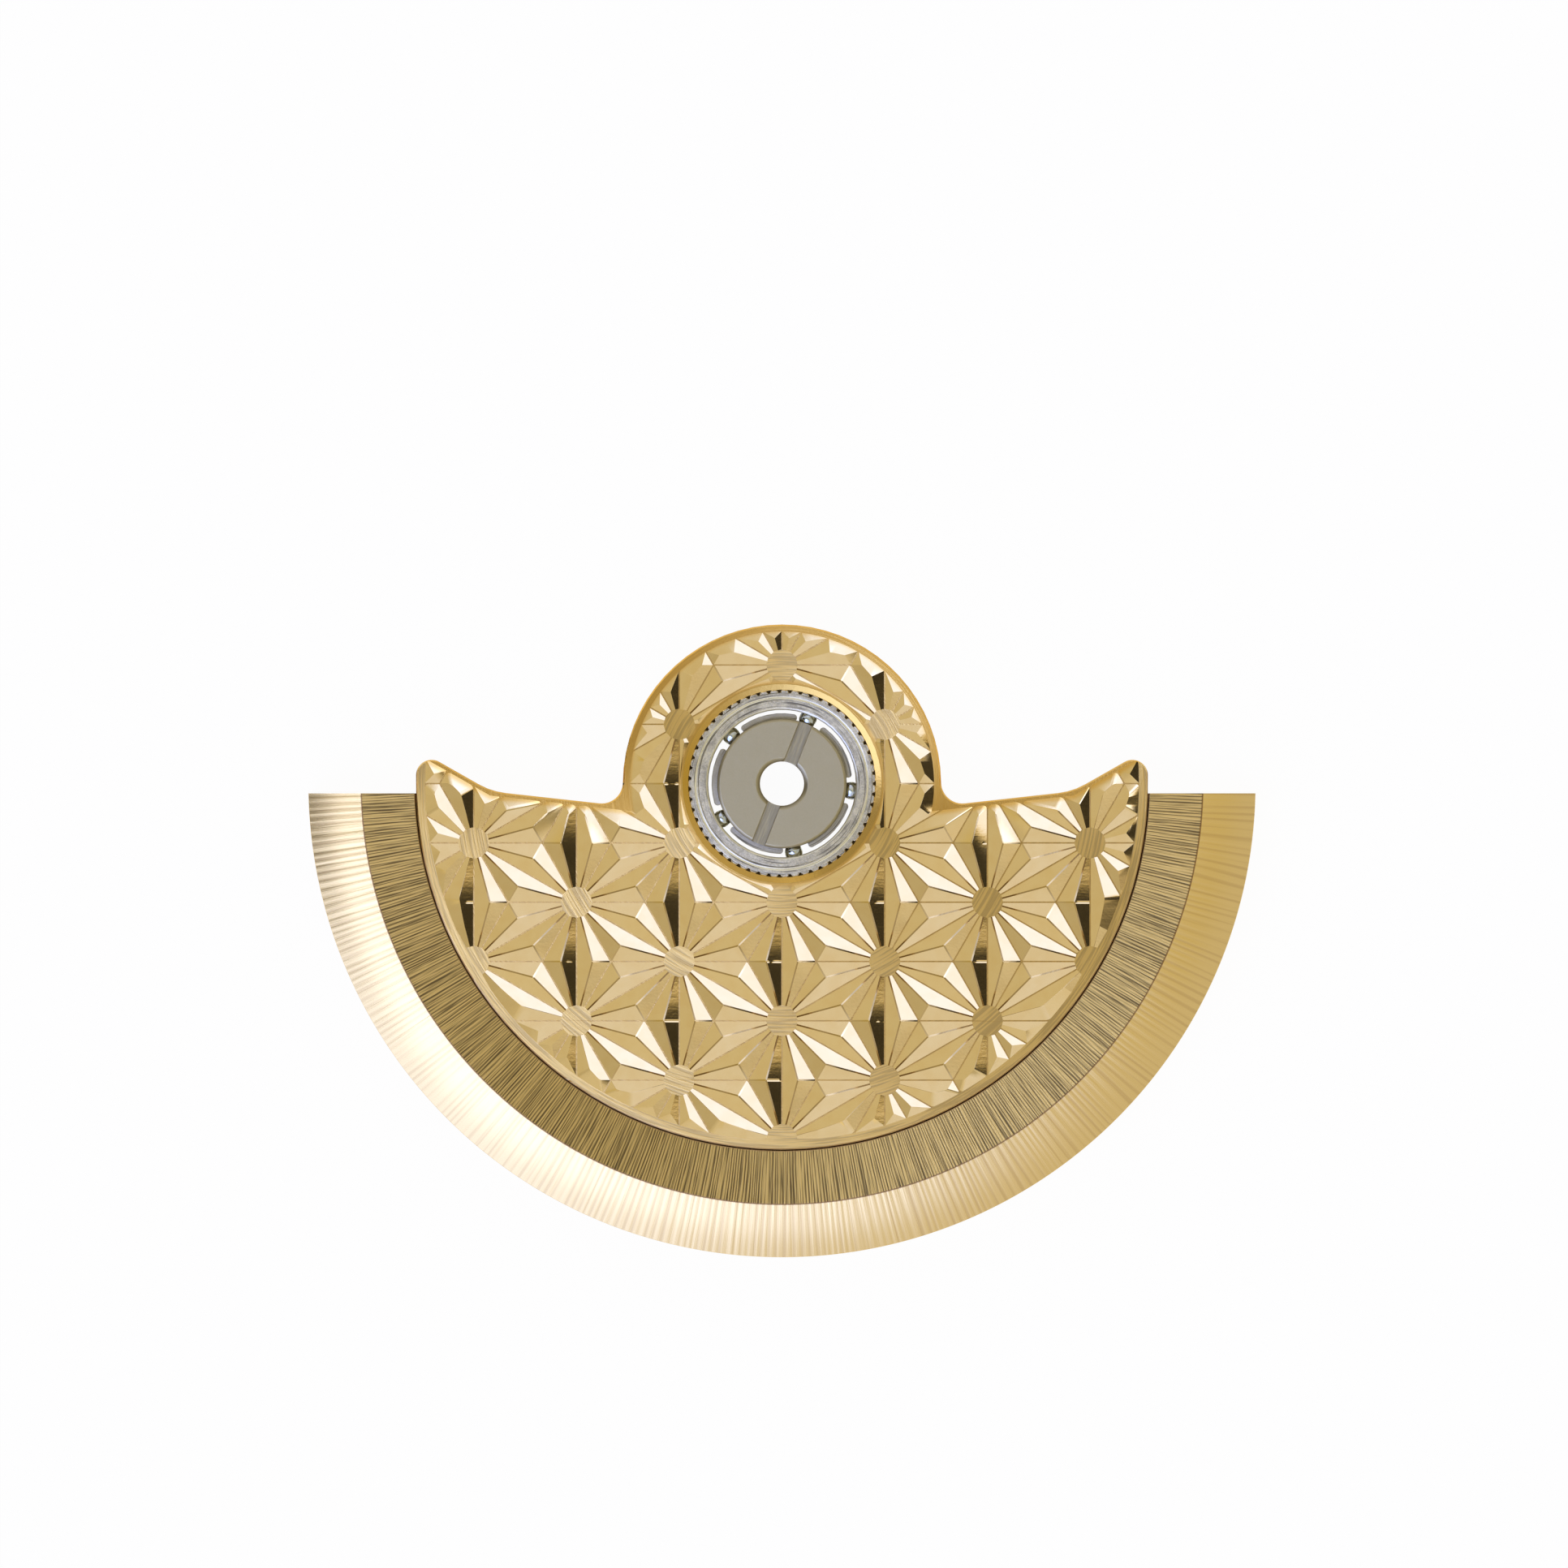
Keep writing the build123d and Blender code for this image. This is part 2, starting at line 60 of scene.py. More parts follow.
# Photograph
PHOTO_FIELD = 44.33 * MM          # width of the picture, at the plate's face
CAMERA_HEIGHT = 0.6
CAMERA_OFFSET = (0.057 * MM, -0.011 * MM)
CAMERA_REACH = (0.01, 10.0)       # nearest and farthest that it sees
SENSOR = 36                       # camera sensor's width in its own millimetres
TABLE_HALF = 2.0
TABLE_GAP = 0.01 * MM             # from the rim's foot
TABLE_PAPER = (1.0, 0.86, 0.64, 1)
TABLE_LIT = 0.96                  # share of plain white
WHITE = (1, 1, 1, 1)

# Plate and relief
HUB_RADIUS = 4.5 * MM
RELIEF_INNER = 2.875 * MM         # where the relief begins round the bearing
ARM_BEND = (8.218 * MM, -0.22 * MM)
ARM_RISES = (6.3, 29.6)           # degrees, of the arm's edge and of the horn's
STAR_PITCH = 3.353 * MM           # between neighbouring stars of the hemp-leaf pattern
STAR_RADIUS = 0.43 * MM
FACET_SLOPE = 25                  # degrees
VALLEY_WIDTH = 0.024 * MM         # half width of the tool's flat track along each valley
HUB_LAND = 0.2 * MM               # plain border inside the hub's edge
ARM_LAND = 0.12 * MM              # plain border inside the arms and horns
ARC_LAND = 0.26 * MM              # plain border inside the rim-side edge
CORNER_ROUNDING = 0.08 * MM       # where a pit's corner meets a border
CORNER_SHADE = 0.01                # share of a track's painted shade, at the rounded corners
HEART_SHADE = 0.4                  # the same between the stars
MERGE = 0.0001 * MM
LEVEL = 0.9999                    # least upright share of a level face's direction
SLOPING = (0.5, 0.99)             # the same of a facet's
SLOPE_SPREAD = 0.012              # how far a facet may be from the stated slope, in that share
UNDERCUT = -0.2                   # share at which a pit's faces end
PIT_FACES = 60                    # a pit has fewer faces than this
VALLEY_TURN = 12                  # degrees, least turn across a valley
NEAR_STAR = STAR_PITCH / 3
STAR_RIM = 1.1 * STAR_RADIUS
PLATE_SMOOTH = 7                  # degrees, shaded smooth below this turn
PIECE_SMOOTH = 20
RING_SMOOTH = 30
FLATNESS = 0.4                    # degrees, turn below which triangles make one face
NUMBER_WAY = Vector((1.0, 0.7549, 0.5698))   # slanted, so that the pattern's rows aren't level along it

# Rim
RIM_END = 0.275 * MM
RIM_BEVEL_WIDTH = 1.5 * MM
RIM_BAND_WIDTH = 1.525 * MM
RIM_BEVEL_ANGLE = 12              # degrees
RIM_FOOT_CHAMFER = 0.1 * MM
RIM_EDGE = 0.03 * MM              # rounding of the rim's sharp edges
RIM_STEPS = 360                   # steps along the half ring
LEDGE_WIDTH = 1.05 * MM
LEDGE_THICKNESS = 0.45 * MM

# Bearing
TURNED_STEPS = 180                # steps round the turned rings
KNURL_COUNT = 55
KNURL_HALVES = (0.38, 0.38, 0.32, 0.22)   # half widths from the root out, in pitches
KNURL_DEPTH = 0.08 * MM
OUTER_WALL = 0.21 * MM            # from the cover ring to the knurl's roots
GROOVE_STEP = 0.07 * MM           # from the cover ring to the turned line's middle
GROOVE_WIDTH = 0.06 * MM
GROOVE_DEPTH = 0.04 * MM
RACE_LIP = 2.088 * MM             # outer race's bore
RACE_MOUTH = 0.305 * MM
RACE_SHOULDER = 0.44 * MM
COVER_LAND = 0.05 * MM
THREAD_RADIUS = 1.0 * MM
THREAD_LENGTH = 0.65 * MM
THREAD_RIDGE = 0.06 * MM
STEM_REACH = 0.01 * MM            # from the stem's radius, within which a point belongs to it
THREAD_TURNS = 5
THREAD_STEPS = 64                 # steps of one turn
THREAD_SIDES = 4
GEAR_MODULE = 0.1 * MM
GEAR_TEETH = 60
GEAR_ROOT = 1.25                  # depth below the pitch circle, in modules
GEAR_HALVES = (0.36, 0.36, 0.25, 0.19, 0.12)   # half widths from the root out, in pitches
GEAR_SEAT_STEP = 0.05 * MM
SLOT_ANGLE = 68.4                 # degrees
SLOT_DEPTH = 0.2 * MM
TURNED_EDGE = 0.012 * MM          # rounding of the turned rings' edges
CORNER_CUT = 0.29                 # where a rounded corner's middle lies, as a share of its reach
BALLS = 5
BALL_SUBDIVISIONS = 4
RIVET_PIN = 0.6                   # share of the head's radius
RIVET_CROWN = 0.55                # the same, to the edge of the head's flat crown
RIVET_SHOULDER = 0.85             # the same, to the bend in its dome
RIVET_DOME = 0.12 * MM
RIVET_STEPS = 48
AXIS_GAP = 2 * MERGE              # radius of a turned piece's ends at the axis


class Tree:
    """One node tree, with short ways to add and join its nodes."""

    def __init__(self, tree):
        self.tree = tree
        tree.nodes.clear()

    def feed(self, socket, value):
        if isinstance(value, bpy.types.NodeSocket):
            self.tree.links.new(value, socket)
        else:
            socket.default_value = value

    def add(self, kind, inputs=(), **settings):
        node = self.tree.nodes.new(kind)
        for key, value in settings.items():
            setattr(node, key, value)
        for key, value in dict(inputs).items():
            self.feed(node.inputs[key], value)
        return node

    def math(self, operation, *values):
        node = self.tree.nodes.new("ShaderNodeMath")
        node.operation = operation
        for socket, value in zip(node.inputs, values):
            self.feed(socket, value)
        return node.outputs[0]

    def sum(self, *values):
        total = values[0]
        for value in values[1:]:
            total = self.math("ADD", total, value)
        return total

    def times(self, *values):
        product = values[0]
        for value in values[1:]:
            product = self.math("MULTIPLY", product, value)
        return product

    def vector(self, x, y, z):
        return self.add("ShaderNodeCombineXYZ", {0: x, 1: y, 2: z}).outputs[0]

    def between(self, value, low, high):
        """0 below low, 1 above high, smooth between."""
        node = self.add("ShaderNodeMapRange", {"Value": value, "From Min": low, "From Max": high},
                        interpolation_type="SMOOTHSTEP")
        return node.outputs["Result"]

    def mix(self, share, first, second):
        """first where share is 0, second where it is 1."""
        node = self.add("ShaderNodeMix", {0: share, 2: first, 3: second}, data_type="FLOAT")
        return node.outputs[0]

    def blend(self, share, first, second):
        """The same for two colours."""
        node = self.add("ShaderNodeMix", {0: share, 6: first, 7: second}, data_type="RGBA")
        return node.outputs[2]

    def place(self):
        """Radius from the swing axis, and x, y and z, in mm."""
        spot = self.add("ShaderNodeTexCoord").outputs["Object"]
        split = self.add("ShaderNodeSeparateXYZ", {0: spot}).outputs
        x, y, z = (self.math("DIVIDE", value, MM) for value in split)
        return self.math("SQRT", self.sum(self.times(x, x), self.times(y, y))), x, y, z

    def noise(self, x, y=0.0, z=0.0, detail=2.0, roughness=0.5):
        node = self.add("ShaderNodeTexNoise", {
            "Vector": self.vector(x, y, z), "Scale": 1.0, "Detail": detail, "Roughness": roughness})
        return node.outputs["Fac"]

    def round_lines(self, radius, x, y, lines, drift, detail):
        """Uneven lines round the swing axis. lines and drift are their changes a mm, across and along."""
        return self.noise(self.times(radius, lines), self.times(x, drift), self.times(y, drift),
                          detail=detail)

    def grains(self, x, y, z, size, detail, roughness=0.5):
        """Uneven grain, with size changes a mm."""
        return self.noise(self.times(x, size), self.times(y, size), self.times(z, size),
                          detail=detail, roughness=roughness)

    def facing(self):
        """x, y and z of the direction that the surface faces."""
        normal = self.add("ShaderNodeNewGeometry").outputs["True Normal"]
        return self.add("ShaderNodeSeparateXYZ", {0: normal}).outputs


def metal(name, draw):
    """New metal material. draw returns its colour, its roughness and its height in mm, and may return the
    share of its brushing and the direction across the brushing."""
    material = bpy.data.materials.new(name)
    material.use_nodes = True
    tree = Tree(material.node_tree)
    values = draw(tree)
    shader = tree.add("ShaderNodeBsdfPrincipled", {
        "Base Color": values["colour"], "Roughness": values["roughness"], "Metallic": 1.0})
    bump = tree.add("ShaderNodeBump", {"Height": values["height"], "Strength": 1.0, "Distance": MM})
    tree.feed(shader.inputs["Normal"], bump.outputs[0])
    if "across" in values:
        tree.feed(shader.inputs["Anisotropic"], values["brushing"])
        tree.feed(shader.inputs["Tangent"], values["across"])
    output = tree.add("ShaderNodeOutputMaterial")
    tree.feed(output.inputs["Surface"], shader.outputs[0])
    return material


# Finishes
# Depths are in mm. LINES and DRIFT are changes a mm, across the grooves and along them, and GRAINS in all
# directions. A FADE is the range in which one finish gives way to another, and a GLOSS is a roughness.

LEVEL_FADE = (0.99, 0.998)        # upright share of a face's direction, from sloping to level
UPPER_FADE = (0.2, 0.5)           # the same, from the plate's walls to its upper faces

# Plate
GILT = (0.88, 0.63, 0.255, 1)
GILT_WORN = (0.86, 0.6, 0.23, 1)
# painted shade on the facets that face the left
LEFT_FACING_SHADE = (0.82, 0.5, 0.13, 1)
# painted shade in the tracks along the valleys
TRACK_SHADE = (0.18, 0.105, 0.04, 1)
FLAT_GILT = (0.92, 0.61, 0.19, 1)
FLAT_DARK = (0.6, 0.4, 0.14, 1)
RIDGE_BROWN = (0.62, 0.36, 0.1, 1)
# painted shade and painted reflection of the gold beside it, inside the plate's edges
BORDER_SHADE_AND_REFLECTION = (0.8, 0.45, 0.085, 1)
# painted shade on the land round the bearing
DISH_SHADE = (0.6, 0.37, 0.085, 1)
# painted shade beside the gap between plate and rim; also the rim's dark line between band and bevel
SEAM_BROWN = (0.2, 0.09, 0.03, 1)
RING_LINES = 17
RING_DRIFT = 0.6
RING_DEPTH = 0.01
RING_FADE = (0.56, 0.42)
BROAD_LINES = 3.5
BROAD_DRIFT = 0.3
BROAD_DEPTH = 0.007
CUT_GRAINS = 13                   # tool's grain on the facets
CUT_DEPTH = 0.0012
WAVE_GRAINS = 1.1
WAVE_RISE = 3                     # the same upwards
WAVE_DEPTH = 0.005
LEFT_FADE = (0.35, 0.4)           # leftward share of a face's direction, on the facets that face the left
LEFT_SHADE_SHARE = 0.5                   # share of the painted shade there
HOLLOW_DEPTH = 0.035              # those facets' hollow grinding
STREAK_LINES = 9
STREAK_DRIFT = 1.2
STREAK_DEPTH = 0.0014
NICK_DEPTH = 0.012                # cutter's nick at their middle
NICK_FADE = (0.014, 0.0)          # distance from that middle, in pitches
NICK_GRAINS = 2
NICK_SPREAD = (0.45, 0.55)
WEAR_GRAINS = 2.3
WEAR_FADE = (0.35, 0.7)
LIGHT_WAY = 230                    # degrees, way towards the bright light; tracks that face it get less painted shade
LIGHT_FADE = (0.22, 0.3)
TRACK_SHADE_SHARE = 0.8                  # share of painted shade in a track that faces away from the light
# the same, in a track that faces the light
TRACK_LIT_SHARE = 0.1
FLAT_LINE = 0.75                  # share of the dark tone in a turned line
RIDGE_LINE = 0.55
BORDER_FADE = (0.3, 0.14)         # distance from the plate's edge
BORDER_LINE = 0.75
BEARING_BORDER = 0.2              # how far the border reaches into the relief round the bearing
DISH_FADE = (0.03, 0.06)
DISH_SHADE_SHARE = 0.8
PLATE_SEAM = (0.045, 0.02)
PLATE_SEAM_SHARE = 0.7
FACET_GLOSS = (0.1, 0.16)
FLAT_GLOSS = 0.3
FLAT_BRUSHING = 0.9

# Rim
BAND_GILT = (0.76, 0.5, 0.14, 1)
BAND_DARK = (0.16, 0.105, 0.035, 1)
BEVEL_GILT = (0.88, 0.62, 0.24, 1)
BEVEL_LINE = (0.76, 0.52, 0.2, 1)
ALONG_RADIUS = 12                 # mm, radius at which the lines are counted
LOOSE_LINES = (32, 0.3)           # changes a mm, across the lines and along them
FINE_LINES = (55, 1.2)
PATCH_LINES = (1.3, 1)
SOFT_LINES = (6, 0.05)
BAND_SWAY_LINES = (2.6, 0.25)
BEVEL_SWAY_LINES = (1.1, 0.1)
BAND_SWAY = 0.2                   # mm, how far the steady lines wander
BEVEL_SWAY = 0.5
BAND_STEP = 0.085                 # mm between the steady lines
BEVEL_STEP = 0.19
STEADY_SHARE = 0.16
FINE_SHARE = 0.3
PATCHES = (0.7, 1.3)              # least and most depth of the band's lines, as shares of BAND_DEPTH
BAND_DEPTH = 0.01
FINE_BAND_DEPTH = 0.003
SOFT_DEPTH = 0.008
FINE_BEVEL_DEPTH = 0.002
BEVEL_LINE_DEPTH = 0.0014
BAND_FADE = (0.4, 0.57)
BEVEL_LINE_FADE = (0.3, -1.0)
SOFT_FADE = (0.35, 0.6)
RIDGE_FADE = (0.03, 0.012)        # distance from the edge between band and bevel
RIM_SEAM = (0.05, 0.02)
RIM_UPPER_FADE = (0.1, 0.4)
RIM_LINE_SHARE = 0.75
BEVEL_GLOSS = (0.2, 0.3)
BAND_GLOSS = (0.3, 0.46)
BEVEL_BRUSHING = 0.62
BAND_BRUSHING = 0.75

# Steel and brass
EDGE_HIGHLIGHT = (0.95, 0.87, 0.6, 1)     # painted highlight, bright, on the rounded edges and sloping faces
EDGE_HIGHLIGHT_FADES = ((0.3, 0.6), (0.95, 0.8))
TURNED_LINES = 26
TURNED_DRIFT = 0.8
TURNED_GRAINS = 24
TURNED_BRUSHING = 0.5
GRAIN_ROUGHNESS = 0.65            # weight of the finest grain
STAIN_GRAINS = 3
STAIN_FADE = (0.35, 0.65)
GLOSS_SPREAD = (0.8, 1.2)         # as shares of the stated roughness
LINE_FADE = (0.46, 0.34)
LINE_DARK = 0.45                  # tone of a deep turned line, as a share of the dark tone
SCREW_TONES = ((0.435, 0.362, 0.195, 1), (0.52, 0.433, 0.235, 1))
SCREW_GRAINS = 26
SCREW_GRAIN_DEPTH = 0.0012
SCREW_LINES = 30
SCREW_DRIFT = 0.8
SCREW_LINE_DEPTH = 0.0002
SCREW_GLOSS = (0.34, 0.46)
SLOT_TONE = (0.36, 0.305, 0.182, 1)
SLOT_FADE = (0.03, 0.01)          # distance from the slot's bottom
MILL_LINES = 16
MILL_DRIFT = 1.2
MILL_DEPTH = 0.006
MILL_FADE = (0.3, 0.6)
BALL_TONES = ((0.56, 0.58, 0.52, 1), (0.66, 0.67, 0.6, 1))
BALL_GRAINS = 40
BALL_DEPTH = 0.0004
BALL_GLOSS = (0.05, 0.11)


def plate_margin(tree, radius, x, y):
    """How far a point lies inside the plate's upper edges and outside the bearing's land, in mm."""
    half = tree.math("ABSOLUTE", x)
    out = tree.math("SUBTRACT", half, ARM_BEND[0] / MM)
    up = tree.math("SUBTRACT", y, ARM_BEND[1] / MM)
    edges = [tree.math("SUBTRACT", tree.times(out, sin(radians(rise))), tree.times(up, cos(radians(rise))))
             for rise in ARM_RISES]
    body = tree.math("MAXIMUM", *edges)
    hub = tree.math("SUBTRACT", HUB_RADIUS / MM, radius)
    inner = tree.math("SUBTRACT", radius, RELIEF_INNER / MM - BEARING_BORDER)
    return tree.math("MINIMUM", tree.math("MAXIMUM", hub, body), inner)


def gilt_relief():
    """Plate: bright cut facets, and flats turned with fine rings round the bearing."""
    def draw(tree):
        radius, x, y, z = tree.place()
        nx, ny, nz = tree.facing()
        flat = tree.between(tree.math("ABSOLUTE", nz), *LEVEL_FADE)
        upper = tree.between(nz, *UPPER_FADE)
        leftward = tree.between(tree.times(nx, -1), *LEFT_FADE)

        # Turned rings on the flats
        rings = tree.round_lines(radius, x, y, RING_LINES, RING_DRIFT, detail=3)
        broad = tree.round_lines(radius, x, y, BROAD_LINES, BROAD_DRIFT, detail=1)
        flat_height = tree.sum(tree.times(rings, RING_DEPTH), tree.times(broad, BROAD_DEPTH))

        # Tool marks on the facets, and the hollow grinding, streaks and nicks of those that face the left
        grain = tree.noise(tree.times(x, CUT_GRAINS), tree.times(y, CUT_GRAINS), z, detail=3, roughness=0.6)
        wave = tree.noise(tree.times(x, WAVE_GRAINS), tree.times(y, WAVE_GRAINS), tree.times(z, WAVE_RISE),
                          detail=1)
        column = tree.math("CEIL", tree.math("DIVIDE", x, STAR_PITCH / MM * sqrt(3) / 2))
        row = tree.math("SUBTRACT", tree.math("DIVIDE", y, STAR_PITCH / MM), tree.times(column, 0.5))
        hollow = tree.times(leftward, tree.math("COSINE", tree.times(row, 2 * pi)), HOLLOW_DEPTH)
        scratch = tree.noise(tree.times(y, STREAK_LINES), tree.times(x, STREAK_DRIFT), z, detail=2)
        streak = tree.times(leftward, scratch, STREAK_DEPTH)
        middle = tree.math("ABSOLUTE", tree.math("SUBTRACT", tree.math("FRACT", row), 0.5))
        here = tree.between(tree.noise(tree.times(x, NICK_GRAINS), y), *NICK_SPREAD)
        nick = tree.times(leftward, tree.between(middle, *NICK_FADE), here, NICK_DEPTH)
        facet_height = tree.sum(tree.times(grain, CUT_DEPTH), tree.times(wave, WAVE_DEPTH),
                                hollow, streak, nick)

        # Facets, then painted shade in the tracks along their valleys, less where they face the light
        worn = tree.noise(tree.times(x, WEAR_GRAINS), tree.times(y, WEAR_GRAINS), z, detail=4)
        colour = tree.blend(tree.between(worn, *WEAR_FADE), GILT, GILT_WORN)
        # Painted shade: facets that face the left are darker
        colour = tree.blend(tree.times(leftward, LEFT_SHADE_SHARE), colour, LEFT_FACING_SHADE)
        track = tree.add("ShaderNodeAttribute", attribute_name="track").outputs["Fac"]
        towards = tree.sum(tree.times(nx, cos(radians(LIGHT_WAY))), tree.times(ny, sin(radians(LIGHT_WAY))))
        track_shade = tree.mix(tree.between(towards, *LIGHT_FADE), TRACK_SHADE_SHARE, TRACK_LIT_SHARE)
        colour = tree.blend(tree.times(track, track_shade), colour, TRACK_SHADE)

        # Flats, ridges, the borders with painted shade and painted reflection, painted shade on the land
        # round the bearing and at the seam with the rim
        colour = tree.blend(flat, colour, FLAT_GILT)
        colour = tree.blend(tree.times(flat, tree.between(rings, *RING_FADE), FLAT_LINE), colour, FLAT_DARK)
        ridge = tree.add("ShaderNodeAttribute", attribute_name="ridge").outputs["Fac"]
        colour = tree.blend(tree.times(ridge, RIDGE_LINE), colour, RIDGE_BROWN)
        # Painted shade and painted reflection on the plate's borders, reaching round the bearing's land too
        border = tree.times(upper, tree.between(plate_margin(tree, radius, x, y), *BORDER_FADE))
        colour = tree.blend(tree.times(border, tree.mix(rings, BORDER_LINE, 1.0)), colour, BORDER_SHADE_AND_REFLECTION)
        # Painted shade on the land round the bearing
        dish_shade = tree.between(radius, *(RELIEF_INNER / MM - reach for reach in DISH_FADE))
        colour = tree.blend(tree.times(upper, dish_shade, DISH_SHADE_SHARE), colour, DISH_SHADE)
        # Painted shade along the gap between the plate and the rim
        seam_shade = tree.between(radius, *(PLATE_HIGH.x / MM - reach for reach in PLATE_SEAM))
        colour = tree.blend(tree.times(upper, seam_shade, PLATE_SEAM_SHARE), colour, SEAM_BROWN)
        return {"colour": colour, "height": tree.mix(flat, facet_height, flat_height),
                "roughness": tree.mix(flat, tree.mix(grain, *FACET_GLOSS), FLAT_GLOSS),
                "brushing": tree.times(flat, FLAT_BRUSHING), "across": tree.vector(x, y, 0.0)}
    return metal("gilt_relief", draw)


def gilt_rim():
    """Rim: brushed from the centre outwards, coarser and darker on the level faces than on the bevel."""
    def draw(tree):
        radius, x, y = tree.place()[:3]
        nz = tree.facing()[2]
        along = tree.times(tree.math("ARCTAN2", y, x), ALONG_RADIUS)
        band = tree.between(tree.math("ABSOLUTE", nz), *LEVEL_FADE)

        def brushed(lines, detail=1, roughness=0.5):
            return tree.noise(tree.times(along, lines[0]), tree.times(radius, lines[1]),
                              detail=detail, roughness=roughness)

        def steady(sway, reach, step):
            return tree.math("SINE", tree.times(tree.sum(along, tree.times(sway, reach)), 2 * pi / step))

        # Steady lines that wander a little, among uneven ones
        wheel = steady(brushed(BAND_SWAY_LINES), BAND_SWAY, BAND_STEP)
        loose = brushed(LOOSE_LINES, roughness=0.4)
        coarse = tree.mix(0.5, tree.sum(tree.times(wheel, STEADY_SHARE), 0.5), loose)
        fine = brushed(FINE_LINES)
        patchy = tree.mix(brushed(PATCH_LINES), *PATCHES)
        soft = brushed(SOFT_LINES, detail=2, roughness=0.6)
        lines = steady(brushed(BEVEL_SWAY_LINES, detail=0), BEVEL_SWAY, BEVEL_STEP)
        band_height = tree.sum(tree.times(coarse, patchy, BAND_DEPTH), tree.times(fine, FINE_BAND_DEPTH))
        bevel_height = tree.sum(tree.times(soft, SOFT_DEPTH), tree.times(fine, FINE_BEVEL_DEPTH),
                                tree.times(lines, BEVEL_LINE_DEPTH))

        mixed = tree.mix(FINE_SHARE, coarse, fine)
        band_tone = tree.blend(tree.between(mixed, *BAND_FADE), BAND_DARK, BAND_GILT)
        lined = tree.times(tree.between(lines, *BEVEL_LINE_FADE), tree.between(soft, *SOFT_FADE))
        bevel_tone = tree.blend(lined, BEVEL_GILT, BEVEL_LINE)
        colour = tree.blend(band, bevel_tone, band_tone)
        ridge = (RIM_HIGH.x - RIM_BEVEL_WIDTH) / MM
        on_ridge = tree.between(tree.math("ABSOLUTE", tree.math("SUBTRACT", radius, ridge)), *RIDGE_FADE)
        # Painted shade along the gap between the rim and the plate
        seam_shade = tree.between(radius, *(ridge - RIM_BAND_WIDTH / MM + reach for reach in RIM_SEAM))
        upper = tree.between(nz, *RIM_UPPER_FADE)
        dark = tree.times(upper, tree.math("MAXIMUM", on_ridge, seam_shade), RIM_LINE_SHARE)
        colour = tree.blend(dark, colour, SEAM_BROWN)
        return {"colour": colour, "height": tree.mix(band, bevel_height, band_height),
                "roughness": tree.mix(band, tree.mix(soft, *BEVEL_GLOSS), tree.mix(coarse, *BAND_GLOSS)),
                "brushing": tree.mix(band, BEVEL_BRUSHING, BAND_BRUSHING),
                "across": tree.vector(tree.times(y, -1), x, 0.0)}
    return metal("gilt_rim", draw)


def turned_metal(name, colour, dark, roughness, rings, grains):
    """Metal with turned lines round the swing axis and a fine grain. rings and grains are depths in mm."""
    def draw(tree):
        radius, x, y, z = tree.place()
        lines = tree.noise(tree.times(radius, TURNED_LINES), tree.times(x, TURNED_DRIFT),
                           tree.sum(tree.times(y, TURNED_DRIFT), z), detail=3)
        grain = tree.grains(x, y, z, TURNED_GRAINS, detail=3, roughness=GRAIN_ROUGHNESS)
        stain = tree.noise(tree.times(x, STAIN_GRAINS), tree.times(y, STAIN_GRAINS), z, detail=4)
        height = tree.sum(tree.times(lines, rings), tree.times(grain, grains))
        tone = tree.blend(tree.between(tree.mix(0.5, grain, stain), *STAIN_FADE), dark, colour)
        deep = (*(LINE_DARK * value for value in dark[:3]), 1)
        tone = tree.blend(tree.between(lines, *LINE_FADE), tone, deep)
        # Painted highlight on the sloping faces: rounded edges and chamfers
        upright = tree.math("ABSOLUTE", tree.facing()[2])
        edge = tree.times(*(tree.between(upright, *fade) for fade in EDGE_HIGHLIGHT_FADES))
        tone = tree.blend(edge, tone, EDGE_HIGHLIGHT)
        return {"colour": tone, "height": height,
                "roughness": tree.mix(grain, *(roughness * share for share in GLOSS_SPREAD)),
                "brushing": TURNED_BRUSHING, "across": tree.vector(x, y, 0.0)}
    return metal(name, draw)


def screw_steel():
    """Bearing screw: satin head, and a milled slot with lengthwise tool marks."""
    def draw(tree):
        radius, x, y, z = tree.place()
        grain = tree.grains(x, y, z, SCREW_GRAINS, detail=3, roughness=GRAIN_ROUGHNESS)
        lines = tree.round_lines(radius, x, y, SCREW_LINES, SCREW_DRIFT, detail=2)
        turn = radians(SLOT_ANGLE)
        side = tree.math("SUBTRACT", tree.times(x, sin(turn)), tree.times(y, cos(turn)))
        length = tree.sum(tree.times(x, cos(turn)), tree.times(y, sin(turn)))
        milled = tree.noise(tree.times(side, MILL_LINES), tree.times(length, MILL_DRIFT), detail=3)
        depth = tree.math("SUBTRACT", (SCREW_HIGH.z - SLOT_DEPTH) / MM, z)
        slot = tree.between(tree.math("ABSOLUTE", depth), *SLOT_FADE)
        plain = tree.sum(tree.times(grain, SCREW_GRAIN_DEPTH), tree.times(lines, SCREW_LINE_DEPTH))
        height = tree.mix(slot, plain, tree.times(milled, MILL_DEPTH))
        tone = tree.blend(grain, *SCREW_TONES)
        tone = tree.blend(tree.times(slot, tree.between(milled, *MILL_FADE)), tone, SLOT_TONE)
        return {"colour": tone, "height": height, "roughness": tree.mix(grain, *SCREW_GLOSS)}
    return metal("screw_steel", draw)


def polished_steel():
    """Balls: mirror bright."""
    def draw(tree):
        grain = tree.grains(*tree.place()[1:], BALL_GRAINS, detail=2)
        return {"colour": tree.blend(grain, *BALL_TONES), "height": tree.times(grain, BALL_DEPTH),
                "roughness": tree.mix(grain, *BALL_GLOSS)}
    return metal("ball_steel", draw)


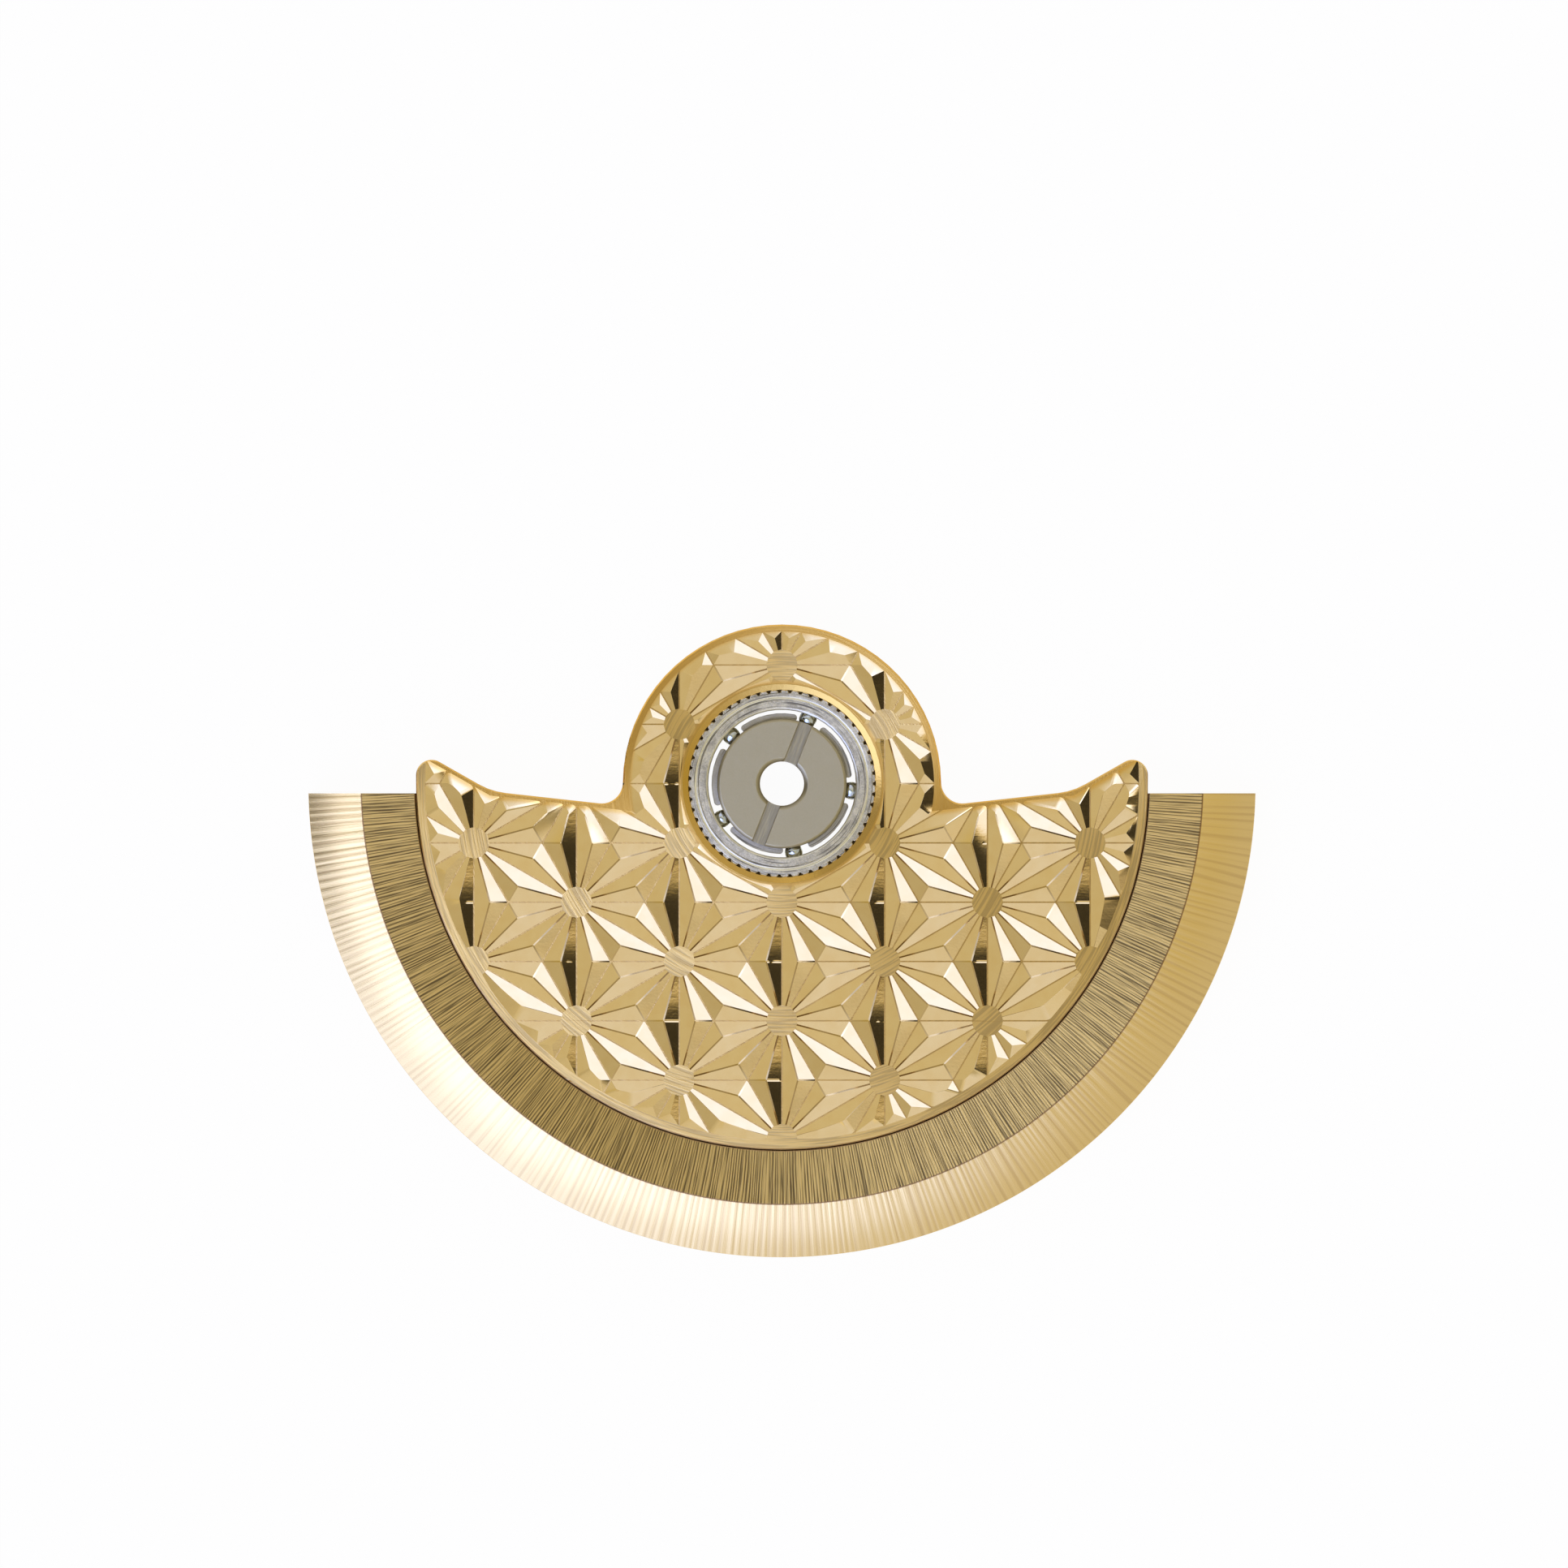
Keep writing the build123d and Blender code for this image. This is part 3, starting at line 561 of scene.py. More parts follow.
def white_table():
    """Floor: white to the camera and in reflections, with a little plain white that takes the shadow. It is
    clear from below, so that the underside can be seen."""
    material = bpy.data.materials.new("white_table")
    material.use_nodes = True
    tree = Tree(material.node_tree)
    path = tree.add("ShaderNodeLightPath").outputs
    seen = tree.math("MAXIMUM", path["Is Camera Ray"],
                     tree.math("MAXIMUM", path["Is Glossy Ray"], path["Is Transmission Ray"]))
    paper = tree.add("ShaderNodeBsdfDiffuse", {"Color": TABLE_PAPER})
    lit = tree.add("ShaderNodeEmission", {"Color": WHITE, "Strength": 1.0})
    mixed = tree.add("ShaderNodeMixShader", {
        0: tree.times(seen, TABLE_LIT), 1: paper.outputs[0], 2: lit.outputs[0]})
    clear = tree.add("ShaderNodeBsdfTransparent")
    below = tree.add("ShaderNodeNewGeometry").outputs["Backfacing"]
    either = tree.add("ShaderNodeMixShader", {0: below, 1: mixed.outputs[0], 2: clear.outputs[0]})
    output = tree.add("ShaderNodeOutputMaterial")
    tree.feed(output.inputs["Surface"], either.outputs[0])
    return material


# Geometry Nodes trees

def grower(name, **sizes):
    """New Geometry Nodes tree with named inputs for its sizes. Returns it and its inputs."""
    group = bpy.data.node_groups.new(name, "GeometryNodeTree")
    tree = Tree(group)

    def socket(key, kind, way="INPUT"):
        group.interface.new_socket(key, in_out=way, socket_type="NodeSocket" + kind)

    socket("Geometry", "Geometry")
    socket("Geometry", "Geometry", way="OUTPUT")
    for key, kind in sizes.items():
        socket(key, kind)
    socket("Finish", "Material")
    return tree, tree.add("NodeGroupInput").outputs


def close_tree(tree, given, shape):
    """Makes the shape's copies real, gives it the finish and ends the tree."""
    real = tree.add("GeometryNodeRealizeInstances", {0: shape}).outputs[0]
    done = tree.add("GeometryNodeSetMaterial", {"Geometry": real, "Material": given["Finish"]}).outputs[0]
    tree.feed(tree.add("NodeGroupOutput").inputs[0], done)
    return tree.tree


def turning_tree():
    """Turns a row of (radius, 0, z) points round the swing axis, from a start angle through a whole or part
    turn. End cuts the two ends square at that distance from the axis."""
    tree, given = grower("turning", Steps="Int", Start="Float", Turn="Float", End="Float")
    row = given["Geometry"]
    count = tree.add("GeometryNodeAttributeDomainSize", {0: row}).outputs["Point Count"]
    grid = tree.add("GeometryNodeMeshGrid", {
        "Size X": 1.0, "Size Y": 1.0, "Vertices X": count,
        "Vertices Y": tree.math("ADD", given["Steps"], 1)}).outputs["Mesh"]
    place = tree.add("ShaderNodeSeparateXYZ", {0: tree.add("GeometryNodeInputPosition").outputs[0]}).outputs
    last = tree.math("SUBTRACT", count, 1)
    number = tree.math("ROUND", tree.times(tree.math("ADD", place[0], 0.5), last))
    share = tree.math("ADD", place[1], 0.5)
    sample = tree.add("GeometryNodeSampleIndex", {"Geometry": row, "Index": number},
                      data_type="FLOAT_VECTOR", domain="POINT")
    tree.feed(sample.inputs["Value"], tree.add("GeometryNodeInputPosition").outputs[0])
    point = tree.add("ShaderNodeSeparateXYZ", {0: sample.outputs["Value"]}).outputs
    lead = tree.math("ARCSINE", tree.math("DIVIDE", given["End"], point[0]))
    sweep = tree.math("SUBTRACT", given["Turn"], tree.times(lead, 2))
    angle = tree.sum(given["Start"], lead, tree.times(share, sweep))
    spot = tree.vector(tree.times(point[0], tree.math("COSINE", angle)),
                       tree.times(point[0], tree.math("SINE", angle)), point[2])
    moved = tree.add("GeometryNodeSetPosition", {"Geometry": grid, "Position": spot}).outputs[0]
    merged = tree.add("GeometryNodeMergeByDistance", {"Geometry": moved, "Distance": MERGE}).outputs[0]
    return close_tree(tree, given, merged)


def teeth_tree():
    """Sets one tooth, drawn at the right of the swing axis, evenly round it."""
    tree, given = grower("teeth", Count="Int", First="Float")
    spots = tree.add("GeometryNodeMeshCircle", {"Vertices": given["Count"], "Radius": MM}).outputs[0]
    centre = tree.add("GeometryNodeSetPosition", {
        "Geometry": spots, "Position": tree.vector(0.0, 0.0, 0.0)}).outputs[0]
    number = tree.add("GeometryNodeInputIndex").outputs[0]
    step = tree.math("DIVIDE", 2 * pi, given["Count"])
    angle = tree.times(tree.math("ADD", number, given["First"]), step)
    teeth = tree.add("GeometryNodeInstanceOnPoints", {
        "Points": centre, "Instance": given["Geometry"],
        "Rotation": tree.vector(0.0, 0.0, angle)}).outputs[0]
    return close_tree(tree, given, teeth)


def thread_tree():
    """Screw thread: a small ridge wound round the swing axis."""
    tree, given = grower("thread", Turns="Float", Radius="Float", Length="Float", Ridge="Float")
    path = tree.add("GeometryNodeCurveSpiral", {
        "Resolution": THREAD_STEPS, "Rotations": given["Turns"], "Start Radius": given["Radius"],
        "End Radius": given["Radius"], "Height": given["Length"]}).outputs[0]
    ridge = tree.add("GeometryNodeCurvePrimitiveCircle", {
        "Resolution": THREAD_SIDES, "Radius": given["Ridge"]}).outputs[0]
    wound = tree.add("GeometryNodeCurveToMesh", {"Curve": path, "Profile Curve": ridge, "Fill Caps": True})
    return close_tree(tree, given, wound.outputs[0])


def setting_tree(mesh):
    """Sets a copy of a mesh on each point."""
    tree, given = grower("setting")
    holder = bpy.data.objects.new("set_piece", mesh)
    shape = tree.add("GeometryNodeObjectInfo", {"Object": holder}).outputs["Geometry"]
    copies = tree.add("GeometryNodeInstanceOnPoints", {
        "Points": given["Geometry"], "Instance": shape}).outputs[0]
    return close_tree(tree, given, copies)


def placed(name, data):
    """New object in the scene."""
    thing = bpy.data.objects.new(name, data)
    bpy.context.scene.collection.objects.link(thing)
    return thing


def grown(mesh, tree, material, **sizes):
    """Mesh that a Geometry Nodes tree makes from a plain one."""
    holder = placed("holder", mesh)
    modifier = holder.modifiers.new("grow", "NODES")
    modifier.node_group = tree
    for item in tree.interface.items_tree:
        if item.in_out == "INPUT" and item.name in sizes:
            modifier[item.identifier] = sizes[item.name]
        if item.in_out == "INPUT" and item.name == "Finish":
            modifier[item.identifier] = material
    result = bpy.data.meshes.new_from_object(holder.evaluated_get(bpy.context.evaluated_depsgraph_get()))
    holder.modifiers.clear()
    bpy.data.objects.remove(holder)
    return result


# Meshes

def piece(name, mesh, material, body, *nodes):
    """New visible piece that stands for CAD nodes."""
    shown = placed(name, mesh)
    mesh.materials.clear()
    mesh.materials.append(material)
    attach(shown, body)
    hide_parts(*nodes)
    return shown


def shade(mesh, angle=RING_SMOOTH):
    """Smooth shading between faces that meet at less than the angle. Level faces stay flat."""
    mesh.shade_smooth()
    mesh.set_sharp_from_angle(angle=radians(angle))
    for face in mesh.polygons:
        if abs(face.normal.z) > LEVEL:
            face.use_smooth = False


def row_of_points(profile):
    """Mesh of loose points at (radius, 0, z)."""
    mesh = bpy.data.meshes.new("profile")
    mesh.from_pydata([(radius, 0, z) for radius, z in profile], [], [])
    return mesh


def freed(form, name):
    """Plain mesh of a form, which isn't used any more."""
    mesh = bpy.data.meshes.new(name)
    form.to_mesh(mesh)
    form.free()
    return mesh


def closed(mesh):
    """Fills open ends and turns all faces outwards."""
    form = bmesh.new()
    form.from_mesh(mesh)
    bmesh.ops.holes_fill(form, edges=[edge for edge in form.edges if edge.is_boundary])
    bmesh.ops.recalc_face_normals(form, faces=form.faces)
    form.to_mesh(mesh)
    form.free()
    return mesh


def prism(side, low, top, chamfer):
    """Tooth at the right of the swing axis. side is one flank as (radius, half width), root first."""
    def ring(height, inset):
        points = [(radius - inset if radius == side[-1][0] else radius, max(half - inset, half / 2))
                  for radius, half in side]
        return [(x, -y, height) for x, y in points] + [(x, y, height) for x, y in reversed(points)]

    rings = [ring(low, 0), ring(top - chamfer, 0), ring(top, chamfer)]
    count = len(rings[0])
    faces = [tuple(range(count))[::-1], tuple(range(2 * count, 3 * count))]
    for level in (0, count):
        faces += [(level + i, level + (i + 1) % count, level + count + (i + 1) % count, level + count + i)
                  for i in range(count)]
    mesh = bpy.data.meshes.new("tooth")
    mesh.from_pydata([point for points in rings for point in points], [], faces)
    return closed(mesh)


def joined(*meshes):
    """One mesh of several."""
    form = bmesh.new()
    for mesh in meshes:
        form.from_mesh(mesh)
    return freed(form, "whole")


def turned(profile, edge, material, steps=TURNED_STEPS, start=0.0, turn=2 * pi, end=0.0):
    """Turned ring with rounded edges. profile is a closed outline of (radius, z)."""
    outline = rounded(profile, edge)
    row = row_of_points(outline + outline[:1])
    return closed(grown(row, TURNING, material, Steps=steps, Start=start, Turn=turn, End=end))


def rounded(profile, size):
    """Closed (radius, z) profile with every corner cut twice, so that it looks rounded."""
    points = [Vector(point) for point in profile]
    softened = []
    for before, corner, after in zip(points[-1:] + points[:-1], points, points[1:] + points[:1]):
        reach = min(size, (before - corner).length / 3, (after - corner).length / 3)
        back = (before - corner).normalized() * reach
        on = (after - corner).normalized() * reach
        softened += [corner + back, corner + (back + on) * CORNER_CUT, corner + on]
    return softened


def merged_copy(node):
    """CAD node's shape with whole faces in place of loose triangles."""
    form = bmesh.new()
    form.from_mesh(NODES[node].data)
    bmesh.ops.remove_doubles(form, verts=form.verts, dist=MERGE)
    bmesh.ops.dissolve_limit(form, angle_limit=radians(FLATNESS), verts=form.verts, edges=form.edges)
    return form


def bevel(form, edges, size, segments=1):
    """Cuts edges off, or rounds them with more segments. Returns the new faces."""
    return bmesh.ops.bevel(
        form, geom=edges, offset=size, offset_type="OFFSET", segments=segments, profile=0.5,
        affect="EDGES", clamp_overlap=True, material=-1, loop_slide=True)["faces"]


def bevelled_copy(name, form):
    """Plain mesh of a form, with its sharp edges rounded."""
    sharp = [edge for edge in form.edges if edge.calc_face_angle(0) > radians(PIECE_SMOOTH)]
    bevel(form, sharp, TURNED_EDGE, segments=2)
    return freed(form, name)


def relief_pits(form):
    """The plate's flat face, and groups of faces, one for each pit of the relief."""
    slope = cos(radians(FACET_SLOPE))
    flats = {face for face in form.faces
             if face.normal.z > LEVEL and abs(face.verts[0].co.z - PLATE_HIGH.z) < MERGE}
    seen, pits = set(), []
    for first in form.faces:
        if first in seen or abs(first.normal.z - slope) > SLOPE_SPREAD:
            continue
        pit, waiting = set(), [first]
        while waiting:
            face = waiting.pop()
            if face in pit:
                continue
            pit.add(face)
            waiting += [near for edge in face.edges for near in edge.link_faces
                        if near not in flats and near.normal.z > UNDERCUT]
        seen |= pit
        if len(pit) < PIT_FACES:
            pits.append(pit)
    return flats, pits


def is_valley(edge, owner):
    """True between two sloping faces of one pit."""
    faces = edge.link_faces
    return (len(faces) == 2 and faces[0][owner] == faces[1][owner] > 0
            and all(SLOPING[0] < face.normal.z < SLOPING[1] for face in faces)
            and edge.calc_face_angle(0) > radians(VALLEY_TURN))


def at_border(point):
    """True at the plate's face, where the relief ends at the hub's, an arm's or the rim-side border."""
    across = point.xy.length
    out, up = abs(point.x) - ARM_BEND[0], point.y - ARM_BEND[1]
    edges = [out * sin(radians(rise)) - up * cos(radians(rise)) for rise in ARM_RISES]
    body = min(PLATE_HIGH.x - ARC_LAND - across, max(edges) - ARM_LAND)
    margin = max(HUB_RADIUS - HUB_LAND - across, body)
    return point.z > PLATE_HIGH.z - MERGE and abs(margin) < CORNER_ROUNDING / 2


def from_star(point):
    """How far a point lies from the nearest star's middle."""
    width = STAR_PITCH * sqrt(3) / 2
    stars = []
    for column in (floor(point.x / width), ceil(point.x / width)):
        row = round(point.y / STAR_PITCH - column / 2)
        stars.append(Vector((column * width, (row + column / 2) * STAR_PITCH)))
    return min((point.xy - star).length for star in stars)


def number_by_place(form):
    """Numbers points, edges and faces along one way, because bevels number them anew in each run."""
    form.verts.sort(key=lambda vert: vert.co.dot(NUMBER_WAY))
    form.edges.sort(key=lambda edge: (edge.verts[0].co + edge.verts[1].co).dot(NUMBER_WAY))
    form.faces.sort(key=lambda face: face.calc_center_median().dot(NUMBER_WAY))


def make_plate(material):
    """Plate from its CAD shape, with rounded corners at the pits' borders and the cutter's flat track along
    their valleys. The face round the pits is filled anew, because the tracks cut into it."""
    form = merged_copy("rotor_plate")
    track = form.faces.layers.float.new("track")
    owner = form.faces.layers.int.new("pit")
    flats, pits = relief_pits(form)
    corners = []
    for number, pit in enumerate(pits, 1):
        for face in pit:
            face[owner] = number
        corners.append({edge for face in pit for edge in face.edges if is_valley(edge, owner)
                        and any(at_border(vert.co) for vert in edge.verts)})
    bmesh.ops.delete(form, geom=list(flats), context="FACES_ONLY")
    for edges in corners:
        # The rounded corners' faces keep a faint share of painted shade in track
        for face in bevel(form, list(edges), CORNER_ROUNDING, segments=3):
            face[track] = CORNER_SHADE
    form.normal_update()
    valleys = {}
    for edge in form.edges:
        if is_valley(edge, owner) and not any(face[track] for face in edge.link_faces):
            valleys.setdefault(edge.link_faces[0][owner], []).append(edge)
    for edges in valleys.values():
        # The valley tracks keep their share of painted shade in track: full near the stars, less between
        # them
        for face in bevel(form, edges, VALLEY_WIDTH):
            face[track] = 1.0 if from_star(face.calc_center_median()) < NEAR_STAR else HEART_SHADE
    open_edges = [edge for edge in form.edges if edge.is_boundary]
    bmesh.ops.triangle_fill(form, use_beauty=True, use_dissolve=False, edges=open_edges, normal=(0, 0, 1))
    ridge = form.faces.layers.float.new("ridge")
    for face in form.faces:
        face.normal_update()
        if abs(face.normal.z) > LEVEL and abs(face.verts[0].co.z - PLATE_HIGH.z) < MERGE:
            if face.normal.z < 0:
                face.normal_flip()
            middle = face.calc_center_median()
            if from_star(middle) > STAR_RIM and middle.xy.length < PLATE_HIGH.x - ARC_LAND:
                face[ridge] = 1.0
    for vert in form.verts:
        vert.co.z = min(vert.co.z, PLATE_HIGH.z)
    number_by_place(form)
    mesh = freed(form, "plate")
    shade(mesh, PLATE_SMOOTH)
    return piece("plate", mesh, material, "rotor", "rotor_plate")


def make_rim(material):
    """Half ring with a flat band, an outer bevel and the plate's ledge, its edges rounded."""
    radius = sqrt(RIM_HIGH.x ** 2 + RIM_END ** 2)
    bevel_drop = RIM_BEVEL_WIDTH * tan(radians(RIM_BEVEL_ANGLE))
    face, foot = RIM_HIGH.z, RIM_LOW.z
    inner = radius - RIM_BEVEL_WIDTH - RIM_BAND_WIDTH
    ledge_top = PLATE_LOW.z
    ledge_low = ledge_top - LEDGE_THICKNESS
    ledge = inner - LEDGE_WIDTH
    profile = [(inner, foot), (radius - RIM_FOOT_CHAMFER, foot), (radius, foot + RIM_FOOT_CHAMFER),
               (radius, face - bevel_drop), (radius - RIM_BEVEL_WIDTH, face), (inner, face),
               (inner, ledge_top), (ledge, ledge_top), (ledge, ledge_low), (inner, ledge_low)]
    mesh = turned(profile, RIM_EDGE, material, steps=RIM_STEPS, start=-pi, turn=pi, end=RIM_END)
    shade(mesh)
    return piece("rim", mesh, material, "rotor", "rim_weight")


def make_outer_ring(material):
    """Turned ring with a line in its face, and the knurl's rounded teeth set round it."""
    cover = COVER_HIGH.x
    root = cover + OUTER_WALL
    tip = root + KNURL_DEPTH
    seat = root - GEAR_SEAT_STEP
    low, top = PLATE_LOW.z, RING_HIGH.z
    line = cover + GROOVE_STEP
    profile = [(RACE_LIP, RING_LOW.z), (seat, RING_LOW.z), (seat, low), (root, low), (root, top),
               (line + GROOVE_WIDTH / 2, top), (line, top - GROOVE_DEPTH), (line - GROOVE_WIDTH / 2, top),
               (cover, top), (cover, COVER_LOW.z), (cover - COVER_LAND, COVER_LOW.z),
               (cover - COVER_LAND, RACE_SHOULDER), (RACE_LIP + RACE_SHOULDER - RACE_MOUTH, RACE_SHOULDER),
               (RACE_LIP, RACE_MOUTH)]
    ring = turned(profile, TURNED_EDGE, material)
    pitch = 2 * pi * tip / KNURL_COUNT
    radii = (root - OUTER_WALL / 4, root, tip - KNURL_DEPTH / 3, tip)
    flank = [(radius, half * pitch) for radius, half in zip(radii, KNURL_HALVES)]
    tooth = prism(flank, low, top - TURNED_EDGE / 2, KNURL_DEPTH / 4)
    teeth = grown(tooth, TEETH, material, Count=KNURL_COUNT, First=0.5)
    mesh = joined(ring, teeth)
    shade(mesh)
    return piece("outer_race_ring", mesh, material, "rotor", "outer_ring")


def make_gear(material):
    """Gear ring with a row of teeth, each a little rounded towards its tip."""
    pitch_radius = GEAR_TEETH * GEAR_MODULE / 2
    root, tip = pitch_radius - GEAR_ROOT * GEAR_MODULE, pitch_radius + GEAR_MODULE
    seat = COVER_HIGH.x + OUTER_WALL - GEAR_SEAT_STEP
    low, top = GEAR_LOW.z, GEAR_HIGH.z
    blank = turned([(seat, low), (root, low), (root, top), (seat, top)], TURNED_EDGE, material)
    step = 2 * pi / GEAR_TEETH
    radii = (root - GEAR_MODULE / 2, root, pitch_radius, (pitch_radius + tip) / 2, tip)
    arcs = (root, root, pitch_radius, tip, tip)
    flank = [(radius, half * arc * step) for radius, arc, half in zip(radii, arcs, GEAR_HALVES)]
    tooth = prism(flank, low, top, GEAR_MODULE / 6)
    mesh = joined(blank, grown(tooth, TEETH, material, Count=GEAR_TEETH, First=0.0))
    shade(mesh)
    return piece("winding_gear", mesh, material, "rotor", "drive_gear")


def make_screw(material):
    """Screw from its CAD shape, with the stem cut down and a thread wound round it."""
    form = merged_copy("bearing_screw")
    inner = THREAD_RADIUS - THREAD_RIDGE
    for vert in form.verts:
        across = vert.co.xy.length
        if abs(across - THREAD_RADIUS) < STEM_REACH and vert.co.z < MERGE:
            vert.co.xy *= inner / across
    body = bevelled_copy("screw", form)
    length = THREAD_LENGTH - 3 * THREAD_RIDGE
    nothing = bpy.data.meshes.new("nothing")
    thread = grown(nothing, thread_tree(), material, Turns=THREAD_TURNS, Radius=inner, Length=length,
                   Ridge=THREAD_RIDGE)
    thread.transform(Matrix.Translation((0, 0, -length - THREAD_RIDGE)))
    mesh = joined(body, thread)
    shade(mesh, PIECE_SMOOTH)
    return piece("screw", mesh, material, "core", "bearing_screw")


def make_rivets(material):
    """Three round-headed rivets under the rim's ledge, in one mesh."""
    nodes = [f"rim_rivet_{number}" for number in (1, 2, 3)]
    low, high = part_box(nodes[0])
    head = (high.x - low.x) / 2
    pin = RIVET_PIN * head
    shoulder, seat = low.z + RIVET_DOME / 3, low.z + RIVET_DOME
    profile = [(AXIS_GAP, low.z), (RIVET_CROWN * head, low.z), (RIVET_SHOULDER * head, shoulder),
               (head, seat), (pin, seat), (pin, high.z), (AXIS_GAP, high.z)]
    rivet = turned(profile, TURNED_EDGE, material, steps=RIVET_STEPS)
    places = [sum(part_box(node), Vector()) / 2 for node in nodes]
    spots = bpy.data.meshes.new("spots")
    spots.from_pydata([(place.x, place.y, 0) for place in places], [], [])
    mesh = grown(spots, setting_tree(rivet), material)
    shade(mesh)
    return piece("rivets", mesh, material, "rotor", *nodes)


def make_balls(material):
    """True spheres in place of the solids' faceted ones."""
    for number in range(1, BALLS + 1):
        node = f"ball_{number}"
        low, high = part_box(node)
        form = bmesh.new()
        bmesh.ops.create_icosphere(form, subdivisions=BALL_SUBDIVISIONS, radius=(high.z - low.z) / 2)
        bmesh.ops.translate(form, verts=form.verts, vec=(low + high) / 2)
        mesh = freed(form, node)
        mesh.shade_smooth()
        piece(f"bearing_ball_{number}", mesh, material, node, node)


def edged(name, node, material, body):
    """Piece with a CAD node's shape and rounded edges."""
    mesh = bevelled_copy(name, merged_copy(node))
    shade(mesh, PIECE_SMOOTH)
    return piece(name, mesh, material, body, node)


# Light, table and camera

# Studio brightness round the compass, nearly overhead and farther down, as (angle, brightness, coolness).
# Angles are in degrees from +X.
BAND_NEAR = ((-180, 0.9, 0.3), (-176, 2.3, 1.3), (-160, 2.3, 1.45), (-120, 2.15, 1.55),
             (-98, 1.7, 1.55), (-80, 1.1, 1.0), (-62, 0.82, 0.4), (-40, 0.66, -0.1), (0, 0.57, -0.6),
             (30, 0.72, 0), (84, 0.7, 0), (98, 1.0, 0), (112, 0.54, 0), (150, 0.5, 0), (164, 0.42, 0),
             (172, 0.5, 0), (180, 0.9, 0.3))
BAND_FAR = ((-180, 0.03, 0), (-174, 0.05, -0.5), (-168, 0.9, -0.3), (-164, 1.5, 1.5), (-110, 1.5, 1.5),
            (-92, 0.87, 0.5), (-60, 0.68, 0), (-30, 0.66, 0), (0, 0.65, 0), (30, 0.54, 0),
            (60, 0.74, 0.1), (90, 0.82, 0.4), (120, 0.9, 0.6), (150, 0.8, 0.2), (163, 0.2, 0),
            (170, 0.03, 0), (180, 0.04, 0))
WARM_LIGHT = (1.0, 0.99, 0.94)
COOL_LIGHT = (0.87, 1.0, 1.72)
ZENITH = 0.3                      # brightness straight above
BRIGHTEST = 5.0
NEAR_FADE = (5, 15)               # degrees from straight above
FAR_FADE = (28, 44)
STRAIGHT_UP = 0.999999            # keeps the angle real where rounding passes 1


def studio_light():
    """World as a soft studio tent: a broad bright wall to the lower left and a dark card to the left. The
    camera itself sees white."""
    world = bpy.data.worlds.new("studio")
    bpy.context.scene.world = world
    world.use_nodes = True
    tree = Tree(world.node_tree)
    direction = tree.add("ShaderNodeTexCoord").outputs["Generated"]
    x, y, z = tree.add("ShaderNodeSeparateXYZ", {0: direction}).outputs
    turn = tree.math("ARCTAN2", y, x)
    share = tree.math("DIVIDE", tree.math("ADD", turn, pi), 2 * pi)
    tilt = tree.math("DEGREES", tree.math("ARCCOSINE", tree.math("MINIMUM", z, STRAIGHT_UP)))

    def band(stops):
        ramp = tree.add("ShaderNodeValToRGB", {0: share})
        elements = ramp.color_ramp.elements
        while len(elements) > 1:
            elements.remove(elements[-1])
        for number, (angle, value, cool) in enumerate(stops):
            place = (angle + 180) / 360
            element = elements[0] if number == 0 else elements.new(place)
            element.position = place
            element.color = (*(value / BRIGHTEST * (warm + (cold - warm) * cool)
                               for warm, cold in zip(WARM_LIGHT, COOL_LIGHT)), 1)
        return ramp.outputs[0]

    top = tuple(ZENITH / BRIGHTEST * share for share in WARM_LIGHT) + (1,)
    upper = tree.blend(tree.between(tilt, *NEAR_FADE), top, band(BAND_NEAR))
    whole = tree.blend(tree.between(tilt, *FAR_FADE), upper, band(BAND_FAR))
    light = tree.add("ShaderNodeBackground", {"Color": whole, "Strength": BRIGHTEST})
    white = tree.add("ShaderNodeBackground", {"Color": WHITE, "Strength": 1.0})
    seen = tree.add("ShaderNodeLightPath").outputs["Is Camera Ray"]
    shown = tree.add("ShaderNodeMixShader", {0: seen, 1: light.outputs[0], 2: white.outputs[0]})
    output = tree.add("ShaderNodeOutputWorld")
    tree.feed(output.inputs["Surface"], shown.outputs[0])


